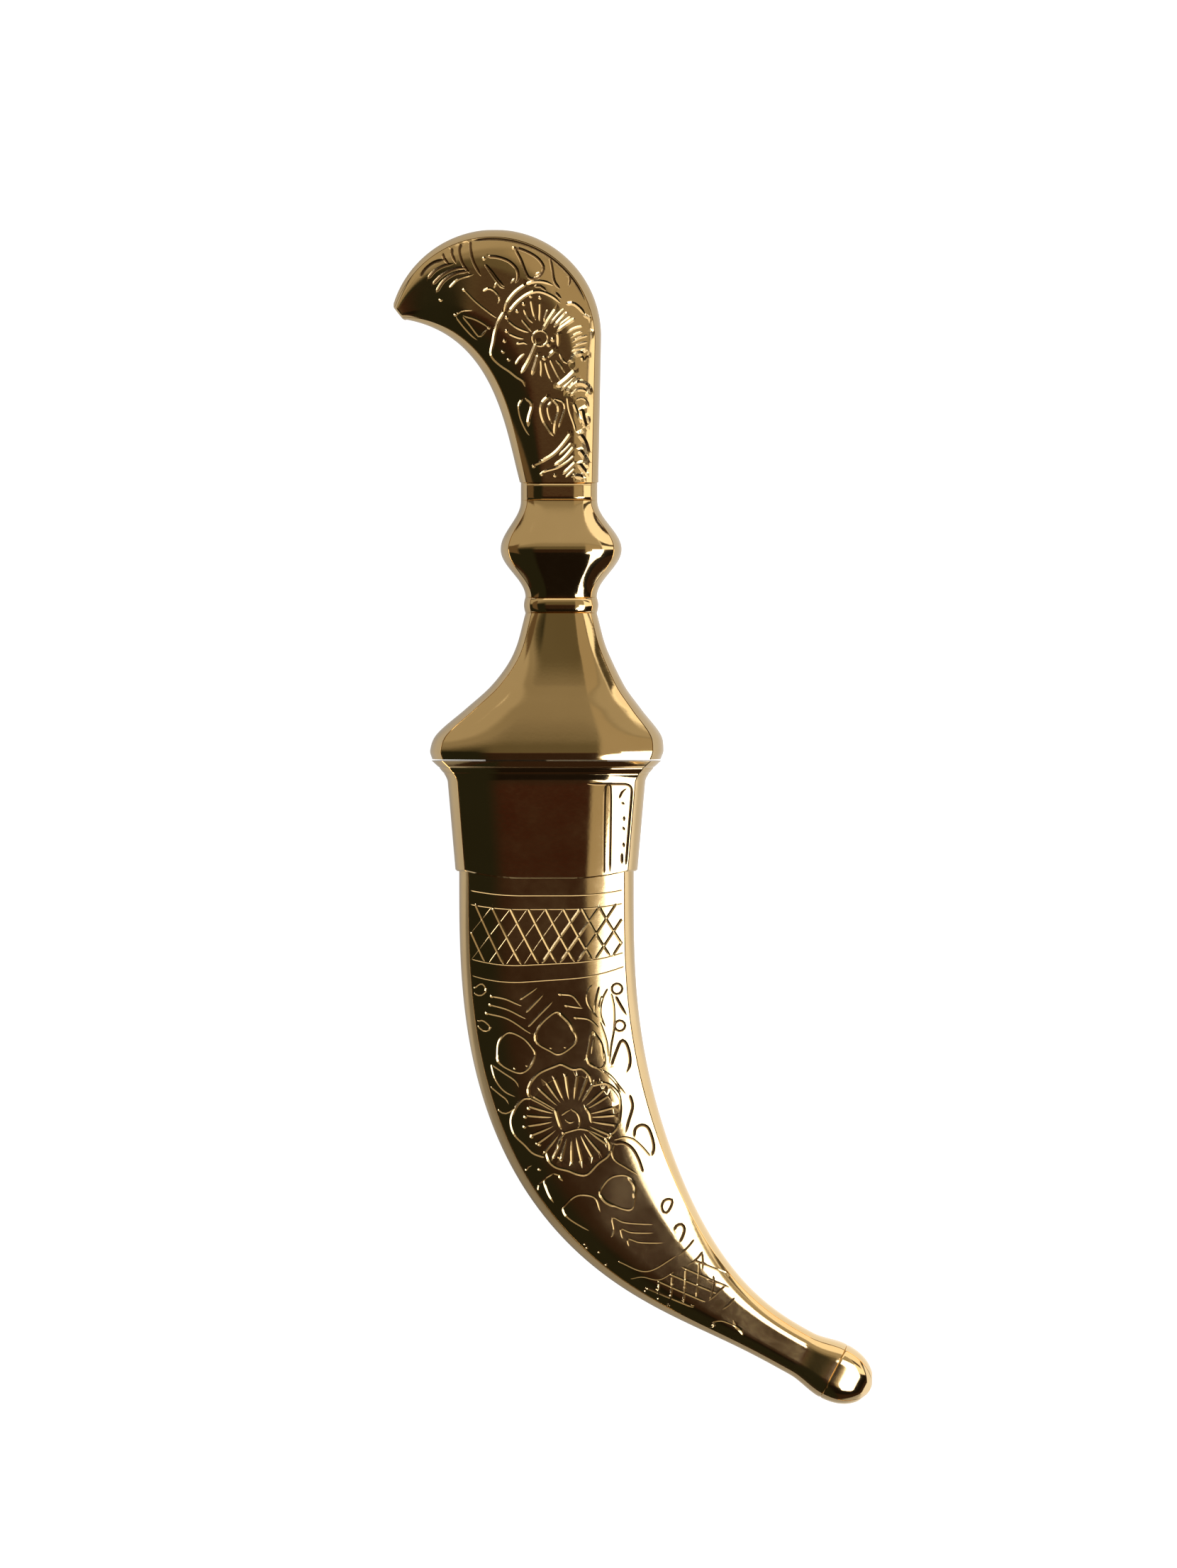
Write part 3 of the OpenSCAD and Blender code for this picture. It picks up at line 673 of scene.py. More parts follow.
def cut_edges(path, half):
    """Points and edges of one cut: its bottom line and its two sides."""
    if is_dot(path):
        a = np.radians(np.arange(0, 360, 360 / DOT_SIDES))
        rim = path[0] + half[0] * np.stack([np.cos(a), np.sin(a)], 1)
        return np.vstack([path[:1], rim]), [(k + 1, (k + 1) % DOT_SIDES + 1) for k in range(DOT_SIDES)]
    is_loop = half[0] > 0
    line = path[:-1] if is_loop else path
    run = np.roll(line, -1, axis=0) - np.roll(line, 1, axis=0) if is_loop else np.gradient(path, axis=0)
    side = unit(np.stack([-run[:, 1], run[:, 0]], 1)) * half[: len(line), None]
    n = len(line)
    if is_loop:
        pairs = [(k * n + i, k * n + (i + 1) % n) for k in range(3) for i in range(n)]
        return np.vstack([line, line + side, line - side]), pairs
    points = np.vstack([line, (line + side)[1:-1], (line - side)[1:-1]])
    rows = range(n), [0, *range(n, 2 * n - 2), n - 1], [0, *range(2 * n - 2, 3 * n - 4), n - 1]
    return points, [pair for row in rows for pair in zip(row[:-1], row[1:])]


dot_points, dot_pairs = cut_edges(np.zeros((2, 2)), np.ones(2))
print("A punched dot has", len(dot_points), "points and", len(dot_pairs), "edges")

# %% The carved face
PROBE_X, CLEAR, WALL_DEPTH = 0.02, 0.16, 0.004


def face_points(form, u, x):
    middle, across = form["rail"](u)
    return np.column_stack([middle + x[:, None] * across, crown(x, form["w"](u), form["t"](u))])


def crown_normals(form, u, x):
    down = face_points(form, u + form["step"], x) - face_points(form, u - form["step"], x)
    normal = unit(np.cross(face_points(form, u, x + PROBE_X) - face_points(form, u, x - PROBE_X), down))
    return normal * np.sign(normal[:, 2:])


def inside_loop(points, loop):
    """Which plan points lie inside a closed loop: those with an odd number of sides to their right."""
    a, b = loop, np.roll(loop, -1, axis=0)
    x, y = points[:, 0, None], points[:, 1, None]
    crosses = (a[:, 1] > y) != (b[:, 1] > y)
    rise = np.where(b[:, 1] == a[:, 1], 1, b[:, 1] - a[:, 1])
    return (crosses & (x < a[:, 0] + (y - a[:, 1]) / rise * (b[:, 0] - a[:, 0]))).sum(1) % 2 == 1


def carve(skin, form, rows, wanted, u_range):
    """The front face between its creases, with the cuts sunk into it."""
    face = rows[:, FACE]
    loop = np.vstack([face[0, :-1], face[:-1, -1], face[-1, :0:-1], face[:0:-1, 0]])
    cuts = fit_cuts(form, wanted, u_range)
    filler = face[1:-1, 1:-1, :2].reshape(-1, 2)
    depth, room, _ = depth_in_cuts(filler, cuts)
    plan, edges = [loop[:, :2], filler[(depth == 0) & (room > CLEAR)]], []
    count = len(plan[0]) + len(plan[1])
    for path, half, _ in cuts:
        points, pairs = cut_edges(path, half)
        plan.append(points)
        edges += [(a + count, b + count) for a, b in pairs]
        count += len(points)
    found, _, faces, origin, _, _ = delaunay_2d_cdt(
        [tuple(p) for p in np.vstack(plan)], edges, [list(range(len(loop)))], 1, 1e-3, True
    )
    found = np.array([tuple(p) for p in found])
    u, x = form["locate"](found)
    depth, _, painted_shade = depth_in_cuts(found, cuts)
    points = np.column_stack([found, crown(x, form["w"](u), form["t"](u)) - depth])
    for k, source in enumerate(origin):
        on_loop = [s for s in source if s < len(loop)]
        if on_loop:
            points[k], depth[k], painted_shade[k] = loop[on_loop[0]], 0, 0
    faces = np.array([f for f in faces if len(f) == 3])
    faces = faces[inside_loop(found[faces].mean(1), loop[:, :2])]
    facing_down = face_normals(points, faces)[:, 2] < 0
    faces[facing_down] = faces[facing_down][:, ::-1]
    corners = crown_normals(form, u, x)[faces]
    in_cut = depth[faces].mean(1) > WALL_DEPTH
    corners[in_cut] = face_normals(points, faces)[in_cut][:, None]
    skin.add(points, faces, corners, depth, painted_shade)
    return len(cuts)


print("Groove walls slope by", round(math.degrees(math.atan(CUT_SLOPE))), "degrees")

# %% [markdown]
# ## Rows of cuts
# The rays of a flower and the lines of a lattice are one cut repeated. A Geometry Nodes tree
# places copies of it from a first place to a last one and turns them on the way. Python would do
# it too, but the tree shows the rule at a glance, and its inputs have names.

# %% Building node trees


def connect(tree, node, inputs):
    """Fills inputs, by place or by name, with values, sockets or nodes."""
    for key, value in inputs.items() if isinstance(inputs, dict) else enumerate(inputs):
        if isinstance(value, bpy.types.Node):
            value = value.outputs[0]
        if isinstance(value, bpy.types.NodeSocket):
            tree.links.new(value, node.inputs[key])
        else:
            node.inputs[key].default_value = value
    return node


def add_node(tree, kind, inputs=(), **settings):
    node = tree.nodes.new(kind)
    for name, value in settings.items():
        setattr(node, name, value)
    return connect(tree, node, inputs)


def maths(tree, operation, *values):
    return add_node(tree, "ShaderNodeMath", values, operation=operation).outputs[0]


def new_group(name, kind, inputs, output):
    """An empty node group and its given values. Inputs and output are names with socket kinds."""
    tree = bpy.data.node_groups.new(name, kind)
    for way, sockets in (("INPUT", inputs), ("OUTPUT", output)):
        for key, socket in sockets.items():
            tree.interface.new_socket(key, in_out=way, socket_type="NodeSocket" + socket)
    return tree, add_node(tree, "NodeGroupInput").outputs


print("Helpers for node trees:", [f.__name__ for f in (connect, add_node, maths, new_group)])

# %% The row tree
ROW_INPUTS = {
    "Cut": "Object",
    "Count": "Int",
    "First place": "Vector",
    "Last place": "Vector",
    "First turn": "Float",
    "Last turn": "Float",
    "Wobble": "Float",
    "Seed": "Int",
    "Material": "Material",
}


def row_tree():
    tree, given = new_group("Row of cuts", "GeometryNodeTree", ROW_INPUTS, {"Geometry": "Geometry"})
    last = maths(tree, "MAXIMUM", maths(tree, "SUBTRACT", given["Count"], 1), 1)
    share = maths(tree, "DIVIDE", add_node(tree, "GeometryNodeInputIndex"), last)

    def between(name, kind, first, out):
        inputs = {0: share, first: given["First " + name], first + 1: given["Last " + name]}
        return add_node(tree, "ShaderNodeMix", inputs, data_type=kind).outputs[out]

    def geometry(kind, **inputs):
        return add_node(tree, "GeometryNode" + kind, inputs)

    shake = add_node(tree, "FunctionNodeRandomValue", {2: -1, 3: 1, "Seed": given["Seed"]}).outputs[1]
    shake = maths(tree, "MULTIPLY", shake, given["Wobble"])
    angle = maths(tree, "ADD", between("turn", "FLOAT", 2, 0), shake)
    turn = add_node(tree, "FunctionNodeEulerToRotation", [add_node(tree, "ShaderNodeCombineXYZ", {2: angle})])
    line = geometry("MeshLine", Count=given["Count"])
    placed = geometry("SetPosition", Geometry=line, Position=between("place", "VECTOR", 4, 1))
    cut = geometry("ObjectInfo", Object=given["Cut"]).outputs["Geometry"]
    copies = geometry("InstanceOnPoints", Points=placed, Instance=cut, Rotation=turn)
    real = geometry("RealizeInstances", Geometry=copies)
    add_node(tree, "NodeGroupOutput", [geometry("SetMaterial", Geometry=real, Material=given["Material"])])
    return tree


rows_tree = row_tree()
marking = bpy.data.materials.new("marking")
SEED = 4


def row_of(path, count, first, last, turns=(0, 0), wobble=0.0):
    """Copies of a path from the first place to the last, as a list of paths."""
    cut_mesh = bpy.data.meshes.new("cut")
    cut_mesh.from_pydata([(x, y, 0) for x, y in path], [(k, k + 1) for k in range(len(path) - 1)], [])
    cut = bpy.data.objects.new("cut", cut_mesh)
    carrier = bpy.data.objects.new("row", bpy.data.meshes.new("row"))
    for o in (cut, carrier):
        bpy.context.scene.collection.objects.link(o)
    modifier = carrier.modifiers.new("Row of cuts", "NODES")
    modifier.node_group = rows_tree
    values = [cut, count, (*first, 0.0), (*last, 0.0), *map(math.radians, (*turns, wobble)), SEED, marking]
    for item in rows_tree.interface.items_tree:
        if item.in_out == "INPUT":
            modifier[item.identifier] = dict(zip(ROW_INPUTS, values))[item.name]
    graph = bpy.context.evaluated_depsgraph_get()
    mesh = bpy.data.meshes.new_from_object(carrier.evaluated_get(graph))
    flat = np.array([v.co[:2] for v in mesh.vertices]).reshape(count, len(path), 2)
    for o in (cut, carrier):
        bpy.data.objects.remove(o)
    return list(flat)


ring = row_of([(1, 0), (2, 0)], 4, (0, 0), (0, 0), (0, 270))
print("Four rays end at", [tuple(int(round(c)) for c in ray[1]) for ray in ring])

# %% [markdown]
# ## The drawing
# The ornament was drawn on a sheet: a band of lattice, a large flower with rays, leaves, strokes with a
# punched dot at their start, and little swords near the tip. One unit of the sheet is 0.14 mm, its y runs
# down, and SHEET_ZERO lies at the middle of the mouth. Some cuts are filled with black. This is painted shade
# that stands in for the dark their walls would mirror.

# %% Sheet and strokes
SHEET_UNIT, SHEET_ZERO = 0.14, np.array([770.7, 1072.9])
STROKE, FINE, DOT = 0.3, 0.15, 0.4


def sheet(points):
    return (np.asarray(points, float) - SHEET_ZERO) * [SHEET_UNIT, -SHEET_UNIT]


# A filled cut is painted black, as painted shade.
def strokes(*paths, half=STROKE, end=1.5, painted_shade=False):
    """Open strokes, which start blunt and run out thin."""
    return [(through(sheet(p)), half, 0.5, end, painted_shade) for p in paths]


def outlines(*paths, half=STROKE, painted_shade=False):
    """Closed outlines."""
    return [(through(sheet(p), closed=True), half, 0, 0, painted_shade) for p in paths]


def dots(*places, radius=DOT):
    return [(sheet([p, p]), radius, 0, 0, False) for p in places]


def dotted(*paths, half=STROKE):
    """Strokes with a punched dot at their start."""
    return strokes(*paths, half=half) + dots(*(p[0] for p in paths))


def beside_crease(form, u, inset):
    """A line that runs inside the right crease of a form's face."""
    w = form["w"](u)
    middle, across = form["rail"](u)
    return middle + (w - FACE_IN * border(w) - inset)[:, None] * across


def circle(centre, radius):
    a = np.radians(np.arange(0, 360, 45))
    return np.asarray(centre) + radius * np.stack([np.cos(a), np.sin(a)], 1)


def rays(centre, inner, outer, count, first, wobble, half):
    """Rays round a centre, all from one cut."""
    ray = [(outer * SHEET_UNIT, 0), (inner * SHEET_UNIT, 0)]
    place = sheet([centre])[0]
    last = first + 360 * (count - 1) / count
    copies = row_of(ray, count, place, place, (first, last), wobble)
    return [(copy, half, 0.3, 4.4, False) for copy in copies]


print("Middle of the flower, mm:", sheet([(806, 1577)]).round(1))

# %% Bands across the scabbard
BAND_LINES = ((26.5, 1.1), (29.2, 1.1), (40.0, 1.7), (43.2, 1.9))
BAND, BAND_BOW, WAVER, BOW_FLAT = (29.0, 40.0), 1.4, 0.12, 0.3


def bend(f):
    """How far a band has bent up: not at all in its flat middle, fully at the border."""
    return np.clip((f - BOW_FLAT) / (1 - BOW_FLAT), 0, 1) ** 2


def on_band(points, top, bottom, bow):
    """From x and a share of the band's height to the plan."""
    x, share = np.asarray(points, float).T
    s = mix(top, bottom, share)
    w = scabbard_w(s)
    middle, across = line_rail(s - bow * bend(np.abs(x) / (w - border(w))))
    return middle + x[:, None] * across


def lattice(lean, count, first_x, pitch=3.5, half=STROKE):
    """One family of slanting cuts from the band's top to its bottom, a little unsteady."""
    share = np.linspace(0, 1, 9)
    cut = np.stack([lean * share, share * 0.98 + 0.01], 1)
    rows = row_of(cut, count, (first_x, 0), (first_x + pitch * (count - 1), 0))
    shake = np.random.default_rng(3).uniform(-WAVER, WAVER, (count, 2))
    rows = [row + np.linspace(a, b, 9)[:, None] * [1, 0] for row, (a, b) in zip(rows, shake)]
    return [(on_band(row, *BAND, BAND_BOW), half, 0.5, 0.9, False) for row in rows]


across_band = np.linspace(-16, 16, 65)[:, None] * [1, 0]
upper_band = [(on_band(across_band, s, s, bow), FINE, 0.6, 0.6, False) for s, bow in BAND_LINES]
upper_band += lattice(5.4, 9, -17.6) + lattice(-8.0, 5, -10.6, half=0.08) + lattice(-8.0, 5, 6.9)
print("Cuts in the upper band:", len(upper_band))

# %% Flower
FLOWER = (806, 1577)
BROAD = 0.36
flower = strokes(
    [(747, 1547), (745, 1537), (749, 1525), (761, 1512), (784, 1502), (792, 1500), (808, 1507), (820, 1506),
     (831, 1516), (835, 1528)],
    [(835, 1530), (855, 1527), (870, 1538), (875, 1553), (873, 1575), (869, 1591), (855, 1604)],
    [(855, 1604), (860, 1615), (858, 1628), (843, 1640), (828, 1655), (815, 1655), (802, 1650), (784, 1645),
     (774, 1636), (771, 1624)],
    [(768, 1631), (752, 1625), (741, 1614), (726, 1599), (721, 1580), (727, 1562), (738, 1549),
     (750, 1548)],
    end=0.5,
)
flower += strokes(
    [(748, 1548), (764, 1556), (781, 1566)],
    [(795, 1597), (808, 1593), (820, 1591), (838, 1596), (856, 1605)],
    [(835, 1530), (829, 1541), (821, 1552)], [(847, 1523), (837, 1531)],
    [(805, 1563), (814, 1569), (818, 1580), (815, 1592)], [(797, 1578), (803, 1582), (810, 1581)],
    [(792, 1572), (798, 1567), (805, 1564)], [(796, 1597), (788, 1610), (785, 1624)],
    half=0.24,
)
flower += strokes(
    [(783, 1563), (787, 1577), (792, 1592)], [(825, 1560), (832, 1570), (834, 1583)],
    [(746, 1532), (745, 1540), (748, 1547)], [(771, 1625), (774, 1634), (779, 1641)],
    [(854, 1604), (860, 1614), (860, 1624)],
    half=BROAD, end=0.8,
)
flower += rays(FLOWER, 27, 62, 27, 4, 2.5, half=0.32)
flower += dots(
    (746, 1562), (741, 1574), (740, 1588), (750, 1602), (761, 1613), (789, 1631), (761, 1648), (795, 1597),
)
print("Cuts in the flower:", len(flower))

# %% Leaves above the flower
leaves_above = outlines(
    [(667, 1396), (679, 1386), (686, 1395), (677, 1403)],
    [(672, 1442), (681, 1438), (692, 1448), (683, 1453)],
    [(786, 1426), (800, 1438), (810, 1454), (813, 1467), (800, 1480), (787, 1486), (776, 1481), (760, 1472),
     (755, 1463), (759, 1449), (770, 1436)],
    [(718, 1455), (738, 1463), (751, 1477), (755, 1487), (748, 1503), (735, 1512), (718, 1507), (704, 1497),
     (702, 1482), (705, 1466)],
    [(836, 1453), (831, 1472), (828, 1492), (834, 1501), (847, 1506), (853, 1497), (850, 1478)],
    half=0.24,
)
leaves_above += dotted(
    [(694, 1404), (714, 1408), (736, 1418)], [(692, 1416), (717, 1423), (742, 1436)],
    [(687, 1428), (717, 1436), (749, 1457)], [(790, 1401), (808, 1404), (820, 1420)],
    [(799, 1417), (810, 1419), (822, 1421)], [(812, 1434), (831, 1437), (846, 1450)],
    half=0.24,
)
leaves_above += strokes(
    [(733, 1409), (758, 1392)], [(742, 1427), (767, 1401)], [(745, 1447), (762, 1429), (780, 1411)],
    [(835, 1388), (829, 1398), (828, 1411), (834, 1423), (844, 1436)],
    [(845, 1390), (840, 1410), (838, 1428)], [(857, 1393), (849, 1410), (847, 1430), (854, 1448)],
    [(849, 1403), (845, 1421), (850, 1438)],
    [(862, 1400), (866, 1420), (866, 1450), (862, 1474), (859, 1500)], [(838, 1462), (834, 1486)],
    [(846, 1440), (855, 1466), (858, 1490)], [(693, 1500), (711, 1512), (727, 1523), (732, 1533)],
    [(693, 1500), (699, 1521), (711, 1537), (727, 1546)],
    [(683, 1524), (705, 1542), (714, 1549), (718, 1557)],
    [(680, 1513), (690, 1544), (703, 1564), (714, 1569), (727, 1561)],
    [(849, 1508), (862, 1517), (874, 1532), (883, 1543)],
    [(838, 1502), (852, 1512), (866, 1524), (876, 1542)],
    [(846, 1523), (860, 1531), (872, 1545), (876, 1562), (873, 1590)],
    half=0.24,
)
leaves_above += strokes(
    [(789, 1428), (803, 1442), (811, 1458)], [(756, 1455), (756, 1466), (763, 1475)],
    [(703, 1484), (703, 1495), (712, 1504)], [(838, 1456), (848, 1472), (851, 1494)],
    [(828, 1490), (831, 1499), (842, 1505)],
    half=BROAD, end=1.0,
)
leaves_above += outlines(circle((870, 1394), 7.5), circle((874, 1446), 7.5), half=0.27, painted_shade=True)
leaves_above += strokes(
    [(868, 1404), (875, 1417), (884, 1432)],
    [(862, 1502), (868, 1485), (876, 1467), (883, 1471), (888, 1487), (888, 1502), (883, 1513)],
    [(888, 1543), (892, 1560), (886, 1582), (882, 1598)],
    half=0.34, painted_shade=True,
)
leaves_above += dots((777, 1477), (797, 1476), (726, 1506), (743, 1502), radius=0.25)

print("Cuts above the flower:", len(leaves_above))

# %% Leaves below the flower
leaves_below = outlines(
    [(846, 1684), (855, 1665), (869, 1657), (886, 1658), (896, 1671), (895, 1690), (889, 1705),
     (866, 1699)],
    half=0.24,
)
leaves_below += strokes(
    [(866, 1613), (863, 1625), (868, 1636), (882, 1645), (900, 1656)],
    [(917, 1630), (905, 1616), (893, 1606), (880, 1603), (866, 1607)],
    [(780, 1654), (769, 1661), (768, 1668), (774, 1684), (781, 1696)],
    [(780, 1654), (789, 1656), (794, 1665)], [(768, 1662), (761, 1669), (758, 1685)],
    [(740, 1662), (743, 1647), (750, 1643)],
    [(793, 1703), (808, 1688), (822, 1684), (840, 1689), (847, 1709)],
    [(793, 1703), (802, 1717), (831, 1735)],
    half=0.24,
)
leaves_below += strokes(
    [(769, 1668), (774, 1682), (781, 1695)], [(788, 1656), (794, 1665)],
    [(886, 1660), (895, 1673), (893, 1690)], [(846, 1683), (854, 1694), (868, 1701)],
    [(794, 1702), (797, 1711), (804, 1719)],
    half=BROAD, end=1.0,
)
leaves_below += strokes(
    [(862, 1744), (866, 1734), (864, 1716), (881, 1723), (921, 1726)],
    [(878, 1746), (876, 1732), (890, 1737), (921, 1738)],
    [(887, 1757), (886, 1746), (902, 1751), (935, 1752)], [(872, 1778), (912, 1792), (954, 1770)],
    half=0.19,
)
leaves_below += strokes(
    [(894, 1603), (896, 1591), (904, 1586), (913, 1589), (919, 1602), (922, 1618), (919, 1630)],
    [(866, 1612), (879, 1611), (891, 1618), (900, 1633), (907, 1653)],
    [(950, 1735), (954, 1728), (961, 1726), (965, 1732), (963, 1742), (958, 1752)],
    half=0.34, end=0.6, painted_shade=True,
)
leaves_below += outlines(
    [(933, 1701), (937, 1692), (947, 1691), (947, 1699), (941, 1709), (936, 1709)],
    half=0.3, painted_shade=True,
)
leaves_below += dots(
    (813, 1753), (825, 1754), (828, 1759), (845, 1765), (844, 1779), (855, 1783),
    radius=0.3,
)
print("Cuts below the flower:", len(leaves_below))

# %% Lattice and little swords near the tip


def sheet_row(path, count, first, last, half=STROKE):
    """A row of strokes that is laid out on the sheet itself."""
    return [(sheet(row), half, 0.5, 0.9, False) for row in row_of(path, count, first, last, wobble=1.0)]


tip_band = sheet_row([(0, 0), (30, 13), (68, 29)], 6, (893, 1825), (978, 1776), half=0.24)
tip_band += sheet_row([(0, 0), (-1, 22), (-4, 50)], 5, (910, 1816), (986, 1779), half=0.26)
tip_band += dots(
    (927, 1817), (945, 1825), (962, 1833), (977, 1840), (948, 1810), (966, 1815), (925, 1832), (942, 1840),
    radius=0.32,
)
tip_band += strokes([(889, 1803), (906, 1800), (929, 1804), (950, 1793)], half=FINE, end=0.6)
tip_band += strokes(
    [(984, 1781), (990, 1780), (997, 1782)], [(990, 1766), (991, 1780), (990, 1794)],
    [(1006, 1798), (1006, 1812), (1001, 1832)], [(997, 1804), (1006, 1808), (1015, 1808)],
    [(979, 1747), (970, 1758), (956, 1771)], [(991, 1764), (983, 1774), (971, 1783)],
    [(1023, 1812), (1012, 1822), (999, 1834)], [(1036, 1829), (1029, 1838), (1019, 1846)],
    half=0.25, painted_shade=True,
)
tip_band += strokes(
    [(1004, 1864), (1009, 1874), (1018, 1884), (1030, 1892)], [(1036, 1869), (1044, 1875), (1048, 1883)],
    half=0.42, end=1.0,
)
tip_band += strokes([(1004, 1864), (1018, 1862), (1036, 1869)], half=0.2)
scabbard_cuts = upper_band + leaves_above + flower + leaves_below + tip_band
print("Cuts on the scabbard's sheet:", len(scabbard_cuts))

# %% The grip's leaves
WIDE, BOLD = 0.42, 0.6
crown_v = np.linspace(*grip_locate(sheet([(668, 338), (829, 421)]))[0], 40)
grip_leaves = [(beside_crease(grip_form, crown_v, 0.36), 0.27, 1.0, 3.0, True)]
grip_leaves += strokes(
    [(664, 340), (664, 352), (668, 370), (679, 391)],
    [(655, 340), (649, 350), (649, 360), (653, 373), (663, 387)], [(638, 350), (638, 360), (644, 374)],
    [(625, 358), (627, 366), (635, 376)], [(593, 391), (601, 380), (613, 371), (628, 367)],
    [(604, 394), (614, 383), (627, 376), (641, 373)], [(611, 402), (626, 388), (644, 380), (660, 379)],
    [(616, 413), (626, 398), (643, 387), (664, 383)],
    [(688, 363), (702, 364), (718, 370), (729, 381), (731, 393), (727, 401)],
    [(684, 374), (694, 385), (703, 397), (712, 406)],
    half=0.36, end=1.2, painted_shade=True,
)
grip_leaves += outlines(
    [(728, 352), (745, 357), (760, 367), (767, 380), (760, 392), (748, 394), (742, 386), (735, 368)],
    half=0.34, painted_shade=True,
)
grip_leaves += strokes(
    [(777, 363), (789, 372), (800, 384), (804, 395), (802, 406)],
    [(776, 364), (779, 380), (782, 398), (790, 409)], [(753, 405), (763, 405), (771, 412)],
    [(783, 413), (792, 423)],
    half=0.32, end=0.8, painted_shade=True,
)
grip_leaves += strokes(
    [(634, 407), (647, 395), (669, 388)], [(686, 377), (696, 392), (706, 405), (712, 408)],
    [(727, 393), (720, 401)], [(754, 389), (762, 385)],
    half=0.26, end=1.0,
)
grip_leaves += dots((683, 366), (725, 351), (773, 360), radius=0.42)
grip_leaves += dotted([(655, 410), (674, 429), (701, 450)], [(643, 445), (653, 439), (667, 439)], half=0.24)
grip_leaves += strokes(
    [(681, 412), (690, 408), (699, 413), (705, 422), (702, 430)], [(701, 399), (697, 408)],
    [(653, 446), (670, 451), (683, 458), (690, 464)],
    [(653, 447), (664, 460), (673, 472), (678, 475), (689, 464)],
    [(644, 448), (654, 461), (665, 473), (674, 481)],
    half=0.26,
)
grip_leaves += dots((622, 424), (690, 463))

print("Cuts in the grip's leaves:", len(grip_leaves))

# %% The grip's flower
EYE = (762, 478)
grip_flower = strokes(
    [(742, 402), (727, 413), (716, 427), (711, 442)],
    [(711, 441), (703, 455), (698, 471), (696, 483), (693, 498), (697, 507), (707, 516), (719, 524),
     (729, 532), (738, 538), (741, 547)],
    [(718, 441), (730, 427), (745, 416), (760, 412), (779, 419), (791, 429)],
    [(742, 402), (755, 398), (769, 399), (781, 404)],
    half=0.36,
)
grip_flower += strokes(
    [(798, 430), (808, 429), (818, 436), (825, 445)], [(822, 445), (831, 449), (835, 459), (835, 480)],
    [(784, 437), (774, 452), (765, 468)], [(801, 441), (790, 452), (781, 463)],
    [(811, 450), (796, 460), (785, 469)], [(787, 470), (788, 480), (787, 490)],
    [(783, 494), (777, 500), (773, 506)], [(757, 484), (747, 507), (735, 528)],
    [(759, 501), (755, 516), (750, 531)],
    half=WIDE, end=1.0,
)
grip_flower += strokes(
    [(796, 436), (786, 446), (776, 458)], [(806, 447), (795, 455), (788, 461)],
    [(822, 461), (810, 464), (799, 471)], [(822, 469), (812, 472), (804, 478)],
    [(829, 474), (816, 478), (806, 484)], [(829, 483), (817, 486), (807, 491)],
    [(827, 491), (816, 493), (805, 497)], [(773, 437), (769, 448), (768, 457)],
    [(762, 427), (762, 441), (761, 455)], [(749, 424), (752, 440), (756, 453)],
    [(739, 437), (744, 448), (752, 457)], [(736, 452), (744, 461), (750, 469)],
    [(716, 453), (729, 463), (746, 470)], [(717, 471), (728, 476), (739, 479)],
    [(728, 486), (738, 484), (744, 487)], [(727, 515), (733, 506), (741, 499)],
    [(763, 507), (764, 520), (763, 533)], [(769, 511), (773, 526), (779, 540)],
    [(776, 508), (783, 523), (791, 538)], [(789, 499), (794, 509), (801, 514)],
    [(784, 509), (791, 516), (797, 527)],
    half=0.28, end=0.9,
)
grip_flower += outlines(circle(EYE, 11), half=0.22)
grip_flower += dots((774, 487), (780, 480), (768, 506), radius=0.5)
grip_flower += dots(
    (749, 419), (762, 421), (739, 430), (730, 440), (715, 449), (715, 468), (712, 482), (710, 497),
    (718, 508),
)

print("Cuts in the grip's flower:", len(grip_flower))

# %% The grip's scrolls and foot
grip_foot = strokes(
    [(806, 513), (809, 504), (815, 500), (824, 499)], [(812, 523), (800, 535), (785, 547)],
    [(801, 556), (806, 546), (815, 541), (824, 542), (831, 548), (833, 558)],
    [(820, 577), (822, 590), (826, 604)], [(817, 613), (823, 621), (827, 631), (829, 642)],
    [(816, 635), (822, 642), (827, 650), (829, 657)], [(816, 654), (821, 661), (827, 668)],
    [(810, 673), (816, 672), (823, 675)],
    half=BOLD, end=0.7,
)
grip_foot += strokes(
    [(821, 502), (822, 512)], [(830, 502), (824, 511)], [(812, 531), (801, 542), (791, 552)],
    [(818, 534), (806, 543)], [(805, 559), (812, 552), (821, 550), (829, 554)],
    [(809, 569), (814, 583), (820, 595), (825, 604)], [(829, 587), (832, 598)],
    [(741, 562), (749, 568), (750, 576), (746, 590), (745, 603)],
    [(774, 560), (766, 567), (763, 578), (766, 592), (772, 603), (781, 616)],
    [(780, 564), (787, 572), (788, 582), (784, 596), (782, 614)],
    [(805, 612), (797, 623), (788, 634), (778, 643), (762, 652), (750, 657)],
    [(810, 630), (801, 641), (792, 650), (781, 657)], [(813, 651), (804, 660), (793, 670)],
    half=0.38, end=1.0,
)
grip_foot += strokes(
    [(737, 563), (732, 572), (734, 588), (740, 603), (747, 615)],
    [(779, 566), (773, 574), (774, 586), (779, 599)],
    [(781, 563), (793, 567), (797, 576), (793, 589), (788, 604)],
    [(812, 565), (820, 562), (827, 566), (831, 575)], [(807, 624), (798, 634), (788, 643)],
    [(811, 642), (800, 652), (786, 660), (772, 664), (762, 668)], [(812, 660), (804, 668), (797, 674)],
    [(812, 667), (806, 674)], [(800, 560), (803, 580), (810, 600), (812, 610)],
    half=0.26, end=0.9,
)
grip_foot += dots((753, 658), (764, 669), (783, 671))
grip_cuts = grip_leaves + grip_flower + grip_foot
print("Cuts on the grip's sheet:", len(grip_cuts))
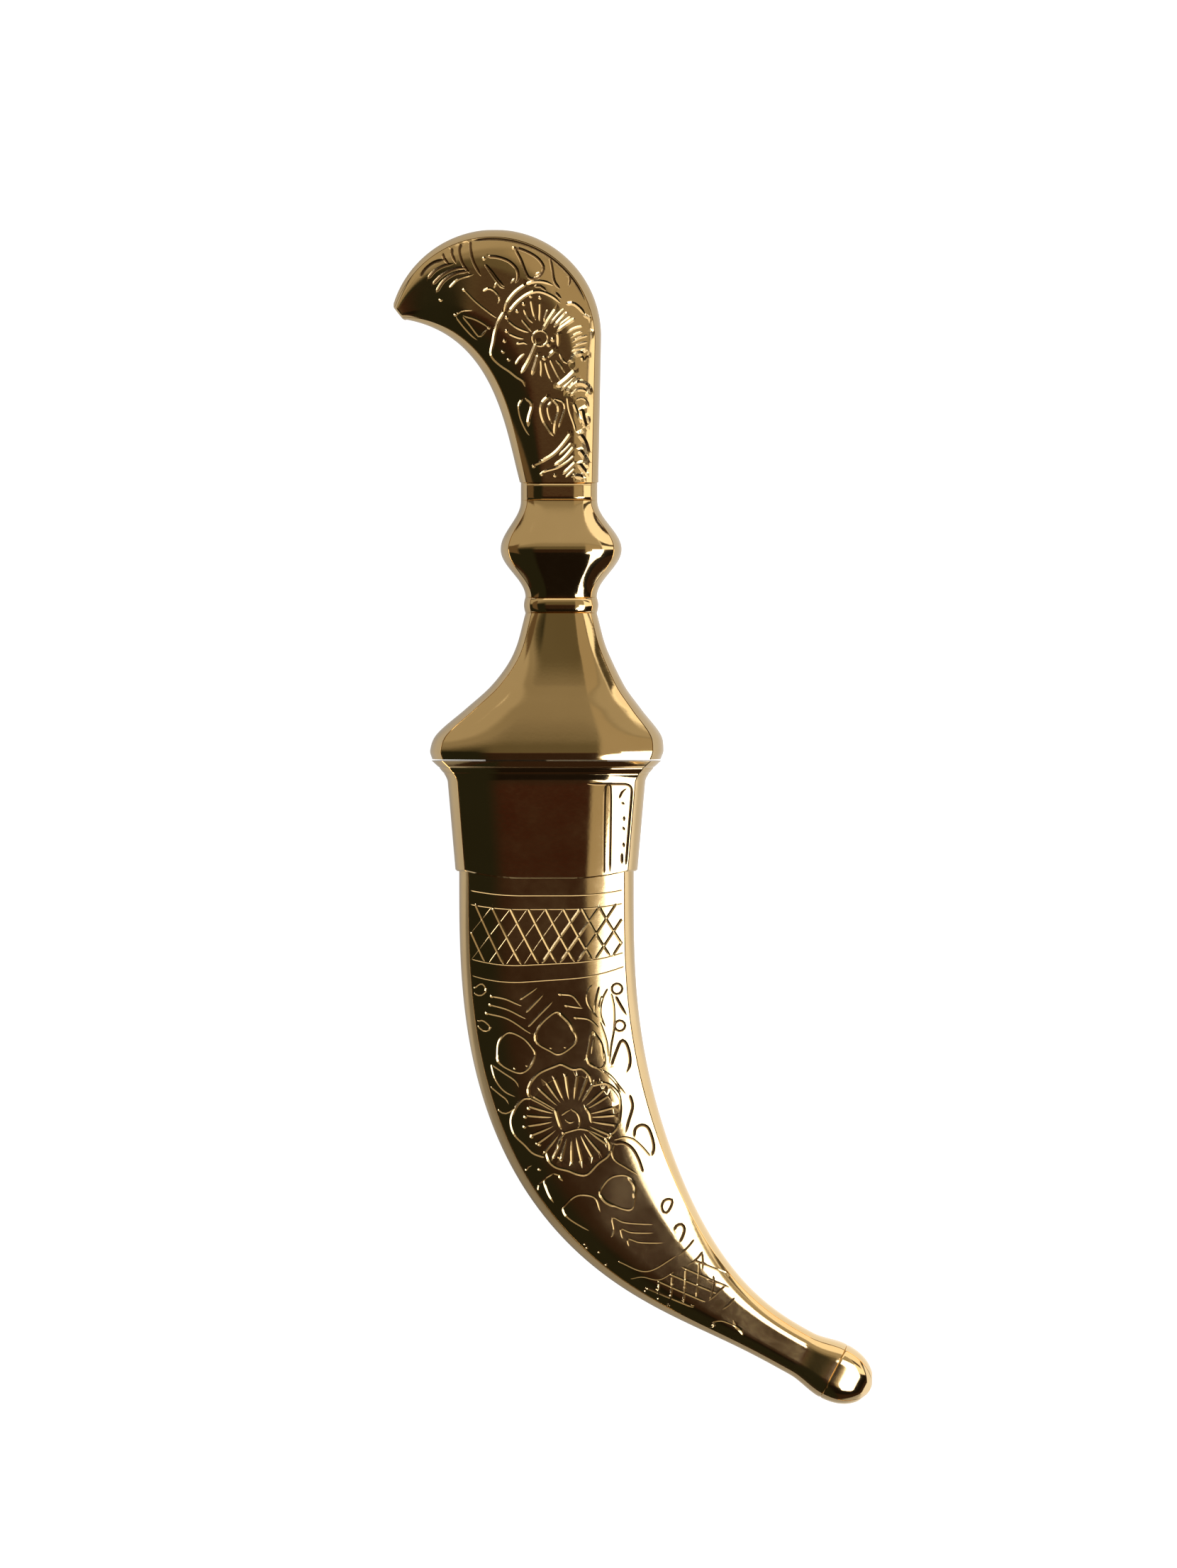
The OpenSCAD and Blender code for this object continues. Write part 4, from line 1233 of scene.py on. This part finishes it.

# %% [markdown]
# ## Metal and its wear
# All the metal is real metal: fully metallic, with the tone of its own surface. Three small node groups carry
# the wear and the painted shade in the cuts. One varies the tone and darkens the cuts, a little as patina in
# bare cuts and almost to black as painted shade in filled ones, one gives the hand polish, and one gives the
# fine grain.

# %% Node groups


def noise(tree, where, scale, detail=3.0, roughness=0.55):
    inputs = {"Vector": where, "Scale": scale, "Detail": detail, "Roughness": roughness}
    return add_node(tree, "ShaderNodeTexNoise", inputs).outputs["Fac"]


def ranged(tree, value, span, out=(0.0, 1.0), **settings):
    """A value's place in its span, brought to another span."""
    return add_node(tree, "ShaderNodeMapRange", (value, *span, *out), **settings).outputs[0]


def blended(tree, factor, a, b):
    return add_node(tree, "ShaderNodeMix", {0: factor, 6: a, 7: b}, data_type="RGBA").outputs[2]


def tone_group():
    colors = {"Polished": "Color", "Aged": "Color", "Patina and shade tone": "Color"}
    inputs = {"Place": "Vector", **colors, "Age": "Float", "Cut": "Float"}
    tree, given = new_group("Metal tone", "ShaderNodeTree", inputs, {"Color": "Color"})
    clouds = ranged(tree, noise(tree, given["Place"], 55.0), (0.35, 0.7), (0.0, given["Age"]))
    tone = blended(tree, clouds, given["Polished"], given["Aged"])
    # The cuts darken towards one tone: patina in bare cuts, painted shade in filled ones.
    add_node(tree, "NodeGroupOutput", [blended(tree, given["Cut"], tone, given["Patina and shade tone"])])
    return tree


def polish_group():
    inputs = {"Place": "Vector", "Base": "Float", "Smudges": "Float", "Cut": "Float"}
    tree, given = new_group("Hand polish", "ShaderNodeTree", inputs, {"Roughness": "Float"})
    smudge = ranged(tree, noise(tree, given["Place"], 90.0, 4.0, 0.6), (0.4, 0.7), (0.0, given["Smudges"]))
    fine = ranged(tree, noise(tree, given["Place"], 900.0, 2.0), (0.3, 0.7), (-0.01, 0.01))
    total = given["Base"]
    for part in (smudge, fine, maths(tree, "MULTIPLY", given["Cut"], 0.2)):
        total = maths(tree, "ADD", total, part)
    add_node(tree, "NodeGroupOutput", [total])
    return tree


def grain_group():
    inputs = {"Place": "Vector", "Stretch": "Vector"}
    tree, given = new_group("Fine grain", "ShaderNodeTree", inputs, {"Height": "Float"})
    place = add_node(tree, "ShaderNodeVectorMath", (given["Place"], given["Stretch"]), operation="MULTIPLY")
    add_node(tree, "NodeGroupOutput", [noise(tree, place, 1500.0, 2.0)])
    return tree


GROUPS = {"tone": tone_group(), "polish": polish_group(), "grain": grain_group()}
print("Node groups:", [group.name for group in GROUPS.values()])

# %% Materials
# Bare cuts are darkened a little as patina, and filled cuts almost to black as painted shade.
BARE_CUT, PAINTED_SHADE_CUT, FULL_DEPTH = 0.1, 0.92, 0.1
PATINA_AND_SHADE_TONE = (0.1, 0.05, 0.02)
GRAIN, GRAIN_HEIGHT = 0.02, 0.0002
GOLD, AGED_GOLD = (0.72, 0.535, 0.29), (0.56, 0.39, 0.18)
BRIGHT_STEEL, DULL_STEEL = (0.62, 0.62, 0.61), (0.5, 0.49, 0.47)


def new_material(name):
    """A new material, its tree, its shader and the place on the object."""
    material = bpy.data.materials.new(name)
    material.use_nodes = True
    tree = material.node_tree
    place = add_node(tree, "ShaderNodeTexCoord").outputs["Object"]
    return material, tree, tree.nodes["Principled BSDF"], place


def metal(name, polished, aged, age, rough, smudges, stretch=(1, 1, 1)):
    material, tree, shader, place = new_material(name)
    cut, painted_shade = (
        add_node(tree, "ShaderNodeAttribute", attribute_name=key).outputs["Fac"] for key in ("cut", "painted_shade")
    )
    # Bare cuts take a little patina, and filled cuts take painted shade.
    patina_and_painted_shade = ranged(tree, painted_shade, (0.0, 1.0), (BARE_CUT, PAINTED_SHADE_CUT))
    depth = maths(tree, "MULTIPLY", ranged(tree, cut, (0.0, FULL_DEPTH)), patina_and_painted_shade)

    def group(key, inputs):
        return add_node(tree, "ShaderNodeGroup", {"Place": place, **inputs}, node_tree=GROUPS[key])

    colors = {"Polished": (*polished, 1), "Aged": (*aged, 1), "Patina and shade tone": (*PATINA_AND_SHADE_TONE, 1)}
    bump = {"Strength": GRAIN, "Distance": GRAIN_HEIGHT, "Height": group("grain", {"Stretch": stretch})}
    finish = {
        "Base Color": group("tone", {**colors, "Age": age, "Cut": depth}),
        "Metallic": 1.0,
        "Roughness": group("polish", {"Base": rough, "Smudges": smudges, "Cut": depth}),
        "Normal": add_node(tree, "ShaderNodeBump", bump),
    }
    connect(tree, shader, finish)
    return material


def wood(name, dark, light):
    material, tree, shader, place = new_material(name)
    stretched = add_node(tree, "ShaderNodeMapping", {"Vector": place, "Scale": (1, 0.12, 1)})
    grain = ranged(tree, noise(tree, stretched.outputs[0], 900.0, 5.0, 0.7), (0.3, 0.7))
    connect(tree, shader, {"Base Color": blended(tree, grain, (*dark, 1), (*light, 1)), "Roughness": 0.75})
    return material


engraved_brass = metal("engraved_brass", GOLD, AGED_GOLD, 0.35, 0.1, 0.05)
polished_brass = metal("polished_brass", GOLD, AGED_GOLD, 0.3, 0.07, 0.04)
blade_steel = metal("blade_steel", BRIGHT_STEEL, DULL_STEEL, 0.4, 0.22, 0.08, stretch=(1, 0.05, 1))
fastener_steel = metal("fastener_steel", (0.55, 0.55, 0.54), (0.42, 0.41, 0.4), 0.5, 0.35, 0.1)
liner_wood = wood("liner_wood", (0.2, 0.1, 0.045), (0.38, 0.21, 0.1))
filler_wood = wood("filler_wood", (0.1, 0.055, 0.03), (0.2, 0.11, 0.055))
made = engraved_brass, polished_brass, blade_steel, fastener_steel, liner_wood, filler_wood
print("Materials made:", [material.name for material in made])

# %% [markdown]
# ## The scabbard
# Two pressed half shells meet on the seam plane. The back one is plain. The front one is
# engraved, so its face comes from the carving.

# %% Scabbard shells
SIDES = {FRONT: "front", BACK: "back"}
shell_s = np.concatenate([np.linspace(PLATE_T, 132, 92), np.linspace(132, SEAM_S, 19)[1:]])

for side, name in SIDES.items():
    skin = Skin()
    outer, inner = (half_rows(scabbard_form, shell_s, inset, side) for inset in (0.0, SHEET))
    add_half(skin, outer, side, face=side == BACK)
    add_half(skin, inner, side, inside=True)
    add_seams(skin, outer, inner, side)
    add_rims(skin, outer, inner, side)
    if side == FRONT:
        engraved = LOCKET_LEN + 0.2, SEAM_S - 0.3
        print("Cuts in the scabbard:", carve(skin, scabbard_form, outer, scabbard_cuts, engraved))
    make_piece(f"scabbard_{name}_shell", skin, engraved_brass, "scabbard", f"scabbard_{name}")


# %% [markdown]
# The locket's sleeve has a moulded flange round the mouth. Its lower edge bows down in the middle, as the
# bands on the scabbard do, and a frame filled with black as painted shade runs down its right side.

# %% Locket
LOCKET_BOW, LOCKET_LIP, BOW_FROM = 1.4, 0.3, 9.0
moulding_s = np.concatenate([np.arange(0, 3.0, 0.11), np.linspace(3.0, FLANGE_H, 8)])
panel_s = np.concatenate([np.linspace(FLANGE_H, LOCKET_LEN - LOCKET_LIP, 19), [LOCKET_LEN]])
PANEL = slice(len(moulding_s) - 1, -1)


def bowed(s):
    drop = smooth((s[:, None] - BOW_FROM) / (LOCKET_LEN - BOW_FROM))
    return s[:, None] + LOCKET_BOW * (1 - bend(np.abs(SIDEWAYS))) * drop


fit_form = even_form(line_rail, SCABBARD_W / 2 + FIT, SCABBARD_T / 2 + FIT)
corner_s, corner_in = np.transpose(
    [(20.6, 0.4), (15, 0.4), (10, 0.4), (7, 0.4), (5.6, 0.5), (4.9, 0.9), (4.6, 1.7), (4.55, 2.8), (4.5, 9.4)]
)
locket_cuts = [(through(beside_crease(locket_form, corner_s, corner_in)), 0.28, 1.0, 2.0, True)]
locket_cuts += strokes(
    [(852, 1231), (852, 1180), (853, 1120), (856, 1107), (861, 1112), (861, 1170), (860, 1230)],
    [(873, 1126), (877, 1117), (884, 1111)],
    half=0.27, painted_shade=True,
)
locket_cuts += strokes(
    [(876, 1131), (881, 1134)], [(880, 1150), (880, 1158)], [(878, 1165), (881, 1171)],
    [(876, 1180), (881, 1179)], [(879, 1187), (880, 1195)], [(877, 1202), (877, 1218)],
    half=0.3, end=0.6, painted_shade=True,
)
skin = Skin()
whole_s = bowed(np.concatenate([moulding_s, panel_s[1:]]))
for side in (BACK, FRONT):
    outer, inner = (half_rows(form, whole_s, 0.0, side) for form in (locket_form, fit_form))
    outer[-1] = half_rows(locket_form, whole_s[-1:], LOCKET_LIP, side)[0]
    add_half(skin, outer[: PANEL.start + 1], side)
    add_half(skin, outer[PANEL], side, face=side == BACK)
    skin.grid(outer[-2:], side == BACK, flat=True)
    add_half(skin, inner, side, inside=True)
    add_rims(skin, outer, inner, side)
carve(skin, locket_form, outer[PANEL], locket_cuts, (FLANGE_H, LOCKET_LEN + LOCKET_BOW))
make_piece("locket_sleeve", skin, polished_brass, "scabbard", "locket")

# %% Finial
STEM_LEN, DOME_ROUND, DOME_END = 7.0, 2.3, 0.055
LIP_LEN, LIP_SHARE = 0.05, 0.95
dome_u = np.concatenate([[0, 0.012, 0.03, 0.06], 1 - np.cos(np.linspace(0.35, 1.45, 30))])
dome_u = np.append(dome_u[dome_u < 0.985], [0.985, 0.995, 1.0])


def dome_share(s):
    u = (s - SEAM_S) / DOME_LEN
    lip = mix(LIP_SHARE, 1, np.sin(np.clip(u / LIP_LEN, 0, 1) * math.pi / 2))
    body = np.sqrt(np.clip(1 - np.clip(u, 0, 1) ** DOME_ROUND, 0, 1))
    return np.where(u < LIP_LEN, lip, np.maximum(DOME_END, body))


dome_form = {
    "rail": line_rail,
    "w": lambda s: FINIAL_W / 2 * dome_share(s),
    "t": lambda s: FINIAL_T / 2 * dome_share(s),
}
skin = Skin()
stem = add_round(skin, scabbard_form, np.linspace(SEAM_S - STEM_LEN, SEAM_S, 6), SHEET + FIT)
dome = add_round(skin, dome_form, SEAM_S + DOME_LEN * dome_u)
skin.fan(stem[0], turned=True)
add_strip(skin, close(stem)[-1], close(dome)[0], True)
skin.fan(dome[-1])
make_piece("finial_dome", skin, polished_brass, "scabbard", "finial")

# %% [markdown]
# ## The hilt
# The fittings are threaded on the blade's tang: a bell, a ring, a knop, another ring, and then
# the grip of two soldered halves.

# %% Bell, knop and rings
TANG_W, BLADE_W, BLADE_T, RING_END = 8.0, 24.0, 2.6, 0.2

skin = Skin()
bell_y = GUARD_Y + BELL_H * np.concatenate([np.linspace(1, 0.2, 50), np.linspace(0.2, 0, 26)[1:]])
add_tube(skin, bell_form, bell_form, bell_y, FITTING_SHEET)
make_piece("hilt_bell", skin, polished_brass, "dagger", "bell")

skin = Skin()
for low, high, end in ((RIDGE_Y, RING_Y, 0), (KNOP_Y, RIDGE_Y - 1e-6, -1)):
    y = np.linspace(high, low, 26)
    outer = add_round(skin, knop_form, y)
    inner = add_round(skin, knop_form, y, FITTING_SHEET, inside=True)
    add_strip(skin, *(close(rows)[end] for rows in ((outer, inner) if end else (inner, outer))))
make_piece("hilt_knop", skin, polished_brass, "dagger", "knop")

tang_form = even_form(hilt_rail, TANG_W / 2 + FIT, BLADE_T / 2 + FIT)


def ring_form(w, low, high, groove, swell):
    """A ring with a swelling belly and, across its faces, a groove at each end."""

    def belly(y):
        return swell * np.sin(np.pi * (y - low) / (high - low))

    def half_t(y):
        u = (y - low) / (high - low)
        inward = np.clip(np.minimum(u, 1 - u) / RING_END, 0, 1)
        return NECK_T / 2 + belly(y) - groove * (1 - inward) ** 2

    return {"rail": hilt_rail, "w": lambda y: w / 2 + belly(y), "t": half_t}


for node, w, low, high, groove, swell in (
    ("neck_ring", NECK_W, NECK_Y, KNOP_Y, 0.35, 0.3),
    ("grip_ring", TOP_W, RING_Y, FOOT_Y, 0.45, 0.0),
):
    skin = Skin()
    add_tube(skin, ring_form(w, low, high, groove, swell), tang_form, np.linspace(high, low, 25))
    make_piece("hilt_" + node, skin, polished_brass, "dagger", node)


# %% Grip halves
NOSE_OUT, NOSE_SHARE, SOLID_ROWS = 0.55, 0.55, 6
grip_v = 1 - np.concatenate([np.linspace(0, 0.1, 12), np.linspace(0.1, 1, 80)[1:]])


def nose_rows(side):
    """The beak's rounded end, which stands a little past the rails."""
    middle, across = grip_rail(1.0)
    a = np.linspace(math.pi / 2, 0, 7)[:-1]
    out, share = NOSE_OUT * np.sin(a), NOSE_SHARE + (1 - NOSE_SHARE) * np.cos(a)
    x, z = half_section(grip_w(1.0) * share[:, None], grip_t(1.0) * share[:, None])
    middle = middle + out[:, None] * [-across[1], across[0]]
    return np.dstack([middle[:, None] + x[..., None] * across, side * z])


def add_grip_half(skin, side):
    outer = half_rows(grip_form, grip_v, 0.0, side)
    inner = half_rows(grip_form, grip_v[SOLID_ROWS:], GRIP_SHEET, side)
    nose, turned = nose_rows(side), side == BACK
    add_half(skin, np.concatenate([nose, outer]), side, face=False)
    skin.grid(np.concatenate([nose, outer[:1]])[:, FACE], turned)
    if side == BACK:
        skin.grid(outer[:, FACE], turned)
    add_half(skin, inner, side, inside=True)
    add_seams(skin, outer[SOLID_ROWS:], inner, side)
    add_strip(skin, outer[-1], inner[-1], turned)
    solid = np.concatenate([nose, outer[: SOLID_ROWS + 1]])
    skin.grid(np.stack([solid[:, -1], solid[:, 0]], 1), turned, flat=True)
    skin.fan(nose[0], turned=not turned)
    skin.fan(inner[0], turned=turned)
    return outer


for side, name in SIDES.items():
    skin = Skin()
    outer = add_grip_half(skin, side)
    if side == FRONT:
        print("Cuts in the grip:", carve(skin, grip_form, outer, grip_cuts, (0.01, 0.985)))
    make_piece(f"grip_{name}_shell", skin, engraved_brass, "dagger", f"grip_{name}")


# %% [markdown]
# ## The blade
# The blade follows one circle, so that it can turn out of the scabbard. Its section is a flat
# diamond with fine edges. The tang is flat, and ends in a stud for the nut.

# %% Blade
BLADE_ARC, TIP_ROOM, EDGE_T, TANG_STEP = 160.0, 39.0, 0.3, 0.1
POINT_CURVE, POINT_FULL, POINT_THIN = 2.4, 0.85, 0.7
STUD_R, STUD_LEN, TANG_END = 1.5, 5.0, 0.5
chord = line_rail(SCABBARD_LEN - TIP_ROOM)[0]
chord_turn = math.asin(np.hypot(*chord) / 2 / BLADE_ARC)
blade_heading = math.atan2(chord[0], -chord[1]) - chord_turn
arc_centre = BLADE_ARC * np.array([math.cos(blade_heading), math.sin(blade_heading)])


def blade_rail(u):
    turn = blade_heading + 2 * chord_turn * u
    across = np.stack([np.cos(turn), np.sin(turn)], -1)
    return arc_centre - BLADE_ARC * across, across


def level_rail(y, x):
    y = np.asarray(y, float)
    return np.stack([np.full_like(y, x), y], -1), np.stack([np.ones_like(y), np.zeros_like(y)], -1)


def rings_on(rail, ring_points):
    """Closed rings of (x, z) points, laid on their rail."""
    middle, across = rail
    plan = middle[:, None] + ring_points[..., :1] * across[:, None]
    return close(np.dstack([plan, ring_points[..., 1]]))


def diamond(w, t, edge):
    w, t, edge = np.broadcast_arrays(w, t, edge)
    o = np.zeros_like(w)
    return np.stack([[w, edge], [o, t], [-w, edge], [-w, -edge], [o, -t], [w, -edge]]).transpose(2, 0, 1)


blade_u = np.concatenate([[0.03], np.linspace(0.06, 0.9, 40), np.linspace(0.92, 0.998, 12)])
blade_w = BLADE_W / 2 * (1 - blade_u**POINT_CURVE) ** POINT_FULL
blade_t = BLADE_T / 2 * (1 - POINT_THIN * blade_u**4)
base = rings_on(level_rail([GUARD_Y], 0), diamond([BLADE_W / 2], [BLADE_T / 2], [EDGE_T / 2]))
blade_rows = np.concatenate([base, rings_on(blade_rail(blade_u), diamond(blade_w, blade_t, EDGE_T / 2))])
tang_y, tang_t = np.array([FOOT_Y - TANG_END, 20.0, GUARD_Y]), BLADE_T / 2 - TANG_STEP
tang_section = diamond(TANG_W / 2 * np.array([0.8, 1, 1]), tang_t, 0.9 * tang_t)
tang_rows = rings_on(level_rail(tang_y, GRIP_SHIFT), tang_section)
stud_y = FOOT_Y + np.array([STUD_LEN, STUD_LEN - 0.3, -2 * TANG_END])
a = np.linspace(0, 2 * math.pi, 33)[:-1]
stud_section = np.stack([np.cos(a), np.sin(a)], -1) * (STUD_R * np.array([0.85, 1, 1]))[:, None, None]
stud_rows = rings_on(level_rail(stud_y, GRIP_SHIFT), stud_section)

skin = Skin()
for k in range(6):
    skin.grid(blade_rows[:, k : k + 2])
    skin.grid(tang_rows[:, k : k + 2], flat=True)
skin.grid(stud_rows)
for rows in (tang_rows, blade_rows, stud_rows):
    skin.fan(rows[0, :-1], turned=True)
    skin.fan(rows[-1, :-1])
make_piece("blade_forged", skin, blade_steel, "dagger", "blade")
print("Blade's angle, degrees:", round(math.degrees(2 * chord_turn), 2))

# %% [markdown]
# The pieces that are already right in the CAD model only get their finish.

# %% CAD pieces
CAD_PIECES = {
    polished_brass: ("mouth_plate", "guard_plate"),
    liner_wood: ("liner_front", "liner_back"),
    filler_wood: ("grip_core",),
    fastener_steel: ("tang_washer", "tang_nut"),
}
for material, nodes in CAD_PIECES.items():
    for node in nodes:
        frame["nodes"][node].data.materials.clear()
        frame["nodes"][node].data.materials.append(material)
    print("CAD pieces in", material.name, *nodes)


# %% [markdown]
# ## The table, the light and the camera
# The object lies on a table that the camera sees as plain white, without a shadow. Metal shows its
# surroundings, so they are most of the look: a dark, warm room with soft cards overhead, a bright window to
# the right, and a table whose mirrored image has painted shade where the belly mirrors it and painted light
# to the right.

# %% Table
WHITE, GREY, TABLE_HALF = (1, 1, 1, 1), (0.45, 0.45, 0.45, 1), 3


def flat_piece(name, corners, height):
    mesh = bpy.data.meshes.new(name)
    mesh.from_pydata([(x, y, height) for x, y in corners], [], [list(range(len(corners)))])
    piece = bpy.data.objects.new(name, mesh)
    bpy.context.scene.collection.objects.link(piece)
    return piece


def across_table(tree, place, direction, span, levels):
    """A level that changes from one value to another over a stretch of the table."""
    dot = add_node(tree, "ShaderNodeVectorMath", (place, (*direction, 0)), operation="DOT_PRODUCT")
    return ranged(tree, dot.outputs["Value"], span, levels, interpolation_type="SMOOTHSTEP")


def table_material():
    """White for the camera, a plain pale surface for light and shadow, and bright in mirrored rays.

    What the metal mirrors of the table has painted shade below the belly and painted light to the right."""
    material, tree, shader, place = new_material("white_table")
    # Painted shade: the table, as the metal mirrors it, is darkened below the belly.
    below = across_table(tree, place, (0.6, 0.8), (-0.081, -0.062), (0.02, 0.33))
    # Painted light: the table, as the metal mirrors it, is brightened to the right.
    right = across_table(tree, place, (0.8, -0.6), (0.02, 0.05), (1.0, 2.3))
    path = add_node(tree, "ShaderNodeLightPath").outputs
    rays = maths(tree, "MAXIMUM", path["Is Glossy Ray"], path["Is Transmission Ray"])
    mirrored = maths(tree, "MULTIPLY", maths(tree, "MULTIPLY", below, right), rays)
    finish = {
        "Base Color": GREY,
        "Roughness": 1.0,
        "Specular IOR Level": 0.0,
        "Emission Color": WHITE,
        "Emission Strength": maths(tree, "MAXIMUM", path["Is Camera Ray"], mirrored),
    }
    connect(tree, shader, finish)
    return material


table = flat_piece("table", TABLE_HALF * np.array([(-1, -1), (1, -1), (1, 1), (-1, 1)]), 0)
table.data.materials.append(table_material())
print("Table's size, m:", table.dimensions[:2])

# %% Room
HORIZON, ANY = 0.02, (-9, 9)


def between(tree, value, low, high, soft):
    """1 between two values and 0 outside, with soft edges."""
    rise, fall = (
        ranged(tree, value, (edge - soft, edge + soft), out, interpolation_type="SMOOTHSTEP")
        for edge, out in ((low, (0, 1)), (high, (1, 0)))
    )
    return maths(tree, "MULTIPLY", rise, fall)


def room(base, cards):
    """A dark room with soft cards overhead. Each card is placed by its slopes to the right and up."""
    world = bpy.data.worlds.new("room")
    bpy.context.scene.world = world
    world.use_nodes = True
    tree = world.node_tree
    place = add_node(tree, "ShaderNodeTexCoord").outputs["Generated"]
    split = add_node(tree, "ShaderNodeSeparateXYZ", [place]).outputs
    height = maths(tree, "MAXIMUM", split["Z"], HORIZON)
    across, up = (maths(tree, "DIVIDE", split[axis], height) for axis in "XY")
    tone = (*base, 1)
    for (left, right), (low, high), soft, color in cards:
        columns, rows = between(tree, across, left, right, soft), between(tree, up, low, high, soft)
        tone = blended(tree, maths(tree, "MULTIPLY", columns, rows), tone, (*color, 1))
    connect(tree, tree.nodes["Background"], {"Color": tone})
    print("Cards in the room:", len(cards))


room(
    (0.04, 0.021, 0.012),
    [
        (ANY, (-0.0265, -0.001), 0.003, (0.054, 0.014, 0.008)),
        (ANY, (-0.001, 0.4), 0.003, (0.1, 0.066, 0.04)),
        (ANY, (0.06, 0.4), 0.03, (0.16, 0.132, 0.075)),
        (ANY, (0.37, 9), 0.1, (0.36, 0.305, 0.205)),
        (ANY, (0.66, 9), 0.1, (0.52, 0.45, 0.32)),
        ((0.12, 1.0), (-0.45, 0.6), 0.04, (0.49, 0.405, 0.265)),
        (ANY, (-2, -0.4), 0.1, (0.012, 0.008, 0.005)),
        ((-0.8, 9), (1.38, 9), 0.1, (1.5, 1.35, 1.1)),
        ((1.15, 9), (-0.25, 1.6), 0.1, (1.7, 1.55, 1.25)),
        ((1.2, 3.2), (0.76, 1.35), 0.1, (0.1, 0.08, 0.045)),
        ((-9, -0.25), (-9, 0.25), 0.15, (0.022, 0.022, 0.012)),
        ((-3, -1.35), (-0.9, 0.9), 0.15, (0.16, 0.11, 0.06)),
    ],
)

# %% Window
WINDOW_HEIGHT = 0.3
WINDOW_LOOK = {"Base Color": (0, 0, 0, 1), "Emission Color": WHITE, "Emission Strength": 4.6}
WINDOW = [
    (0.045, -0.105), (0.09, -0.114), (0.105, -0.159), (0.125, -0.309), (0.36, -0.309), (0.36, 0.041),
    (0.122, 0.041), (0.122, -0.001), (0.112, -0.029), (0.08, -0.037), (0.058, -0.051), (0.03, -0.094),
]
pane = flat_piece("window", WINDOW, WINDOW_HEIGHT)
pane.visible_camera = False
material, tree, shader, _ = new_material("window")
connect(tree, shader, WINDOW_LOOK)
pane.data.materials.append(material)
print("Pieces around the object:", table.name, pane.name)

# %% Camera
MIDDLE = np.array([-8.86, 6.61, 10.0]) * MM
LENS, SENSOR, VIEW_HEIGHT, TILT = 300.0, 36.0, 309.7 * MM, math.radians(1.0)
distance = LENS / SENSOR * VIEW_HEIGHT
camera_data = bpy.data.cameras.new("camera")
camera_data.lens, camera_data.sensor_width, camera_data.clip_start = LENS, SENSOR, 0.01
camera = bpy.data.objects.new("camera", camera_data)
camera.location = MIDDLE + distance * np.array([0, math.sin(TILT), math.cos(TILT)])
camera.rotation_euler = (-TILT, 0, 0)
bpy.context.scene.collection.objects.link(camera)
bpy.context.scene.camera = camera
bpy.context.scene.view_settings.view_transform = "Standard"
print("Camera height above the table, m:", round(camera.location.z, 3))
